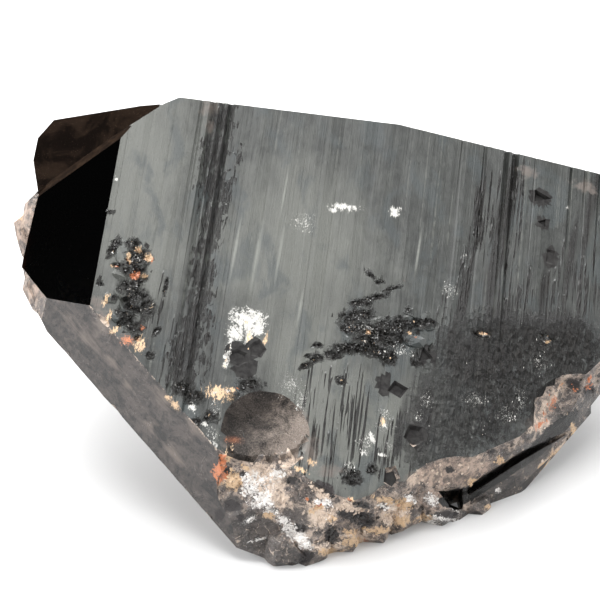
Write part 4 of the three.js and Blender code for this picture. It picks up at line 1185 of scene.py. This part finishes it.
def wanted_edges(points):
    """The longest edge wanted at each point of the crystal, in millimetres."""
    x, y, z = points.T
    front = z > -GROOVE_DEPTH
    # Broken ground lies along the lower side, at the lower right and at the far end
    broken = (z > -15) & ((y < -29) | (x * 0.6 - y * 0.8 > 37.5) | (x > 55))
    marks = PATCHES["etched"] + PATCHES["white"] + PATCHES["cream"]
    wanted = np.full(len(points), COARSE_EDGE)
    wanted[z < -9] = REAR_EDGE
    wanted[front] = FACE_EDGE
    wanted[broken] = BROKEN_EDGE
    wanted[front & (patch_cover(points, marks) > -0.1)] = MARK_EDGE
    return wanted


def face_kinds(mesh):
    """The number of each face's finish."""
    return read_all(mesh.polygons, "material_index", kind=int)


def middles_and_normals(mesh):
    """Each face's middle and outward direction in crystal coordinates."""
    return to_crystal(read_all(mesh.polygons, "center", 3)), read_all(mesh.polygons, "normal", 3) @ AXES


def share_of_kind(mesh, *slots):
    """For each vertex, 1 where all faces round it are of these kinds, and 0 where none is."""
    wanted = np.isin(face_kinds(mesh), [SLOTS.index(slot) for slot in slots])
    corners = read_all(mesh.loops, "vertex_index", kind=int).reshape(-1, 3)
    right = np.zeros(len(mesh.vertices))
    total = np.zeros(len(mesh.vertices))
    for k in range(3):
        np.add.at(right, corners[:, k], wanted)
        np.add.at(total, corners[:, k], 1)
    return right / np.maximum(total, 1)


# Operators

def keep_fields(mesh):
    """Keeps how deep inside each kind of patch every vertex lies, for the materials."""
    points = vertex_points(mesh)
    marks = on_front_plane(points)
    covers = {name: patch_cover(marks, patches) for name, patches in PATCHES.items()}
    covers["glass"] = np.maximum(covers["glass"], np.clip((points[:, 0] - END_BREAK) / 4, -1, 1))
    covers["hollow"] = hollow_places(points)
    for name, cover in covers.items():
        add_field(mesh, name, cover)


def relief_shares(mesh):
    """How much of the broken relief, and of the etched relief, each vertex takes."""
    points = vertex_points(mesh)
    # The relief is weak beside other finishes, in the scar, on smooth places and near the floor
    broken = share_of_kind(mesh, "broken_quartz")
    broken[broken < 0.98] *= 0.25
    broken += share_of_kind(mesh, "round_scar") * 0.12
    calm = patch_cover(on_front_plane(points), PATCHES["glass"] + PATCHES["smooth"]) > 0
    broken *= np.where(calm, 0.12, 1) * np.clip(height_above_floor(mesh) - 1, 0, 1)
    depth = np.clip(patch_cover(points, PATCHES["etched"]) * 2 + 0.6, 0, 1)
    return broken, share_of_kind(mesh, "etched_quartz") * depth


def settle(piece):
    """Hangs a finished piece on the body."""
    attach(piece, "root")


def finish_grains(piece, name, steps, roughness, context):
    """Gives a piece of strewn grains its material, with the colours of its steps."""
    shader = Shader(name, context.scene.morion_colours)
    piece.data.materials.append(strewn_grains(shader, steps, roughness))
    settle(piece)


class MORION_OT_quartz(bpy.types.Operator):
    """Refine the solid's surface, press its relief and give each face its finish"""

    bl_idname = "morion.quartz"
    bl_label = "Quartz"

    def execute(self, context):
        quartz = merged_copy(NODE, "morion_quartz")
        mesh = quartz.data
        mesh.polygons.foreach_set("material_index", kind_of_face(*middles_and_normals(mesh)))
        for maker in MAKERS:
            mesh.materials.append(maker(Shader(maker.__name__, context.scene.morion_colours)))
        split_long_edges(quartz, wanted_edges)
        place_scar(quartz)
        middles = middles_and_normals(mesh)[0]
        mesh.polygons.foreach_set("material_index", etch_kind(face_kinds(mesh), middles))
        keep_fields(mesh)
        broken, etched = relief_shares(mesh)
        vertex_group(quartz, "press_broken", broken)
        vertex_group(quartz, "press_etched", etched)
        sizes = context.scene.morion_sizes
        for kind, grain, share, middle in BROKEN_RELIEF:
            press_relief(quartz, "press_broken", kind, grain, sizes.broken_height * share, middle)
        press_relief(quartz, "press_etched", "VORONOI", ETCHED_GRAIN, sizes.etched_depth, 1.0)
        select_only(quartz)
        bpy.ops.object.shade_smooth_by_angle(angle=SMOOTH_ANGLE)
        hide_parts(NODE)
        settle(quartz)
        return {"FINISHED"}


class MORION_OT_edge_grains(bpy.types.Operator):
    """Strew grains of beige, white, rusty and dark quartz over the broken edge"""

    bl_idname = "morion.edge_grains"
    bl_label = "Edge grains"

    def execute(self, context):
        quartz = bpy.data.objects["morion_quartz"]
        mesh = quartz.data
        points = vertex_points(mesh)
        covers = np.stack([read_field(mesh, name) for name in ("dark", "beige", "bright", "cream", "rust")])
        tint = (covers.argmax(axis=0) + 0.5) / len(covers)
        bare = np.maximum(read_field(mesh, "glass"), read_field(mesh, "smooth"))
        broken = share_of_kind(mesh, "broken_quartz") > 0.6
        chance = np.clip(covers.max(axis=0) * 2 + 0.3, 0, 1) * np.where(bare > 0.1, 0.08, 1)
        chance *= broken & (points[:, 2] > -16) & (read_field(mesh, "hollow") < 0.5)
        chance *= height_above_floor(mesh) > 1.5
        chance *= np.clip(0.6 + lattice_noise(points, 0.6), 0, 1)
        rng = np.random.default_rng(EDGE_SEED)
        grains = strew("edge_grains", quartz, chance, tint, context.scene.morion_sizes.edge_grains,
                       stone_shapes(rng), EDGE_STONES, rng)
        steps = ["broken_dark", "broken_beige", "broken_white", "cream", "rust"]
        finish_grains(grains, "edge_grain_quartz", steps, 0.3, context)
        return {"FINISHED"}


class MORION_OT_face_crusts(bpy.types.Operator):
    """Grow crusts of small dark and sparkling crystals in the front face's etched patches"""

    bl_idname = "morion.face_crusts"
    bl_label = "Face crusts"

    def execute(self, context):
        quartz = bpy.data.objects["morion_quartz"]
        mesh = quartz.data
        points = vertex_points(mesh)
        deep = np.clip(patch_cover(points, PATCHES["etched"]) * 3 + 0.2, 0, 1)
        chance = share_of_kind(mesh, "etched_quartz") * deep
        rng = np.random.default_rng(CRUST_SEED)
        tint = rng.random(len(points)) ** 3.2 * 0.8
        tint = np.where(read_field(mesh, "cream") > 0.1, 0.85, tint)
        tint = np.where(read_field(mesh, "rust") > 0.1, 0.99, tint)
        crust = strew("face_crusts", quartz, chance, tint, context.scene.morion_sizes.crust_grains,
                      point_shapes(rng), CRUST_POINTS, rng)
        steps = ["etched", "etched", "etched_brown", "violet_dark", "gap_grey", "pale", "cream", "rust"]
        finish_grains(crust, "crust_crystals", steps, 0.2, context)
        return {"FINISHED"}


class MORION_OT_pale_flakes(bpy.types.Operator):
    """Lay thin white and cream flakes along the front face's grain, and white ones as painted glints"""

    bl_idname = "morion.pale_flakes"
    bl_label = "Pale flakes"

    def execute(self, context):
        quartz = bpy.data.objects["morion_quartz"]
        mesh = quartz.data
        points = vertex_points(mesh)
        front = share_of_kind(mesh, "striated_face", "etched_quartz", "pit_floor", "round_scar") > 0.9
        white = np.clip(read_field(mesh, "white") * 3 + 0.1, 0, 1)
        cream = np.clip(read_field(mesh, "cream") * 3, 0, 1)
        # Where the face sparkles, white flakes are strewn as painted glints
        sparkle = np.clip(read_field(mesh, "sparkle") + 0.05, 0, 1) * 0.16
        clusters = np.clip(lattice_noise(points, 0.35) * 2 - 0.4, 0, 1)
        sparkle = np.maximum(sparkle, np.clip(read_field(mesh, "rough"), 0, 1) * 0.06 * clusters)
        chance = front * np.maximum(np.maximum(white, sparkle), cream)
        chance = chance * np.clip(0.5 + 2 * lattice_noise(points, 1.2), 0, 1)
        tint = np.where(cream > white, 0.75, 0.25)
        rng = np.random.default_rng(FLAKE_SEED)
        flakes = strew("pale_flakes", quartz, chance, tint, context.scene.morion_sizes.flakes,
                       stone_shapes(rng), THIN_FLAKES, rng, grain=AXES[:, 1])
        finish_grains(flakes, "pale_flake", ["pale", "cream"], 0.4, context)
        return {"FINISHED"}


def area_light(name, power, place, target, width, height):
    """Hangs a soft rectangular light that faces its target."""
    lamp = bpy.data.lights.new(name, "AREA")
    lamp.shape = "RECTANGLE"
    lamp.size = width
    lamp.size_y = height
    lamp.energy = power
    light = bpy.data.objects.new(name, lamp)
    light.location = place
    light.rotation_euler = (Vector(target) - Vector(place)).to_track_quat("-Z", "Y").to_euler()
    bpy.context.scene.collection.objects.link(light)


class MORION_OT_stage(bpy.types.Operator):
    """Lay the pale floor, hang the studio lights and place the camera"""

    bl_idname = "morion.stage"
    bl_label = "Stage"

    def execute(self, context):
        scene = context.scene
        stage = scene.morion_stage
        bpy.ops.object.select_all(action="DESELECT")
        bpy.ops.mesh.primitive_plane_add(size=stage.floor_size)
        floor = context.object
        floor.name = "floor"
        floor.data.materials.append(Shader("floor_paper").surface({
            "Base Color": rgb(FLOOR_GREY, FLOOR_GREY, FLOOR_GREY), "Specular IOR Level": 0.1,
            "Roughness": 0.9, "Emission Color": rgb(1, 1, 1), "Emission Strength": stage.floor_glow}))
        area_light("overhead_softbox", stage.overhead_light, *OVERHEAD)
        area_light("left_light", stage.left_light, *LEFT)
        area_light("right_light", stage.right_light, *RIGHT)
        area_light("back_light", stage.back_light, *BACK)
        scene.world = bpy.data.worlds.new("studio")
        scene.world.use_nodes = True
        background = scene.world.node_tree.nodes["Background"]
        background.inputs["Color"].default_value = rgb(1, 1, 1)
        background.inputs["Strength"].default_value = WORLD_GLOW
        scene.view_settings.view_transform = "Standard"
        camera = bpy.data.objects.new("camera", bpy.data.cameras.new("camera"))
        camera.data.lens = LENS
        camera.data.sensor_width = SENSOR
        camera.data.clip_start = NEAREST
        camera.location = FACE_MIDDLE + CAMERA_OFFSET
        camera.rotation_euler = (-CAMERA_OFFSET).to_track_quat("-Z", "Y").to_euler()
        scene.collection.objects.link(camera)
        scene.camera = camera
        return {"FINISHED"}


GROUPS = {"morion_colours": MorionColours, "morion_sizes": MorionSizes, "morion_stage": MorionStage}
OPERATORS = [MORION_OT_quartz, MORION_OT_edge_grains, MORION_OT_face_crusts, MORION_OT_pale_flakes,
             MORION_OT_stage]


class MORION_PT_sidebar(bpy.types.Panel):
    """The cluster's pieces and settings in the sidebar"""

    bl_label = "Morion quartz cluster"
    bl_space_type = "VIEW_3D"
    bl_region_type = "UI"
    bl_category = "Morion"

    def draw(self, context):
        for operator in OPERATORS:
            self.layout.operator(operator.bl_idname)
        for name, group in GROUPS.items():
            box = self.layout.box()
            for setting in group.__annotations__:
                box.prop(getattr(context.scene, name), setting)


CLASSES = [*GROUPS.values(), *OPERATORS, MORION_PT_sidebar]


def register():
    for kind in CLASSES:
        bpy.utils.register_class(kind)
    for name, group in GROUPS.items():
        setattr(bpy.types.Scene, name, bpy.props.PointerProperty(type=group))


def unregister():
    for name in GROUPS:
        delattr(bpy.types.Scene, name)
    for kind in reversed(CLASSES):
        bpy.utils.unregister_class(kind)


def main():
    """Makes every piece in order."""
    register()
    bpy.ops.morion.quartz()
    bpy.ops.morion.edge_grains()
    bpy.ops.morion.face_crusts()
    bpy.ops.morion.pale_flakes()
    bpy.ops.morion.stage()


if __name__ == "__main__":
    main()
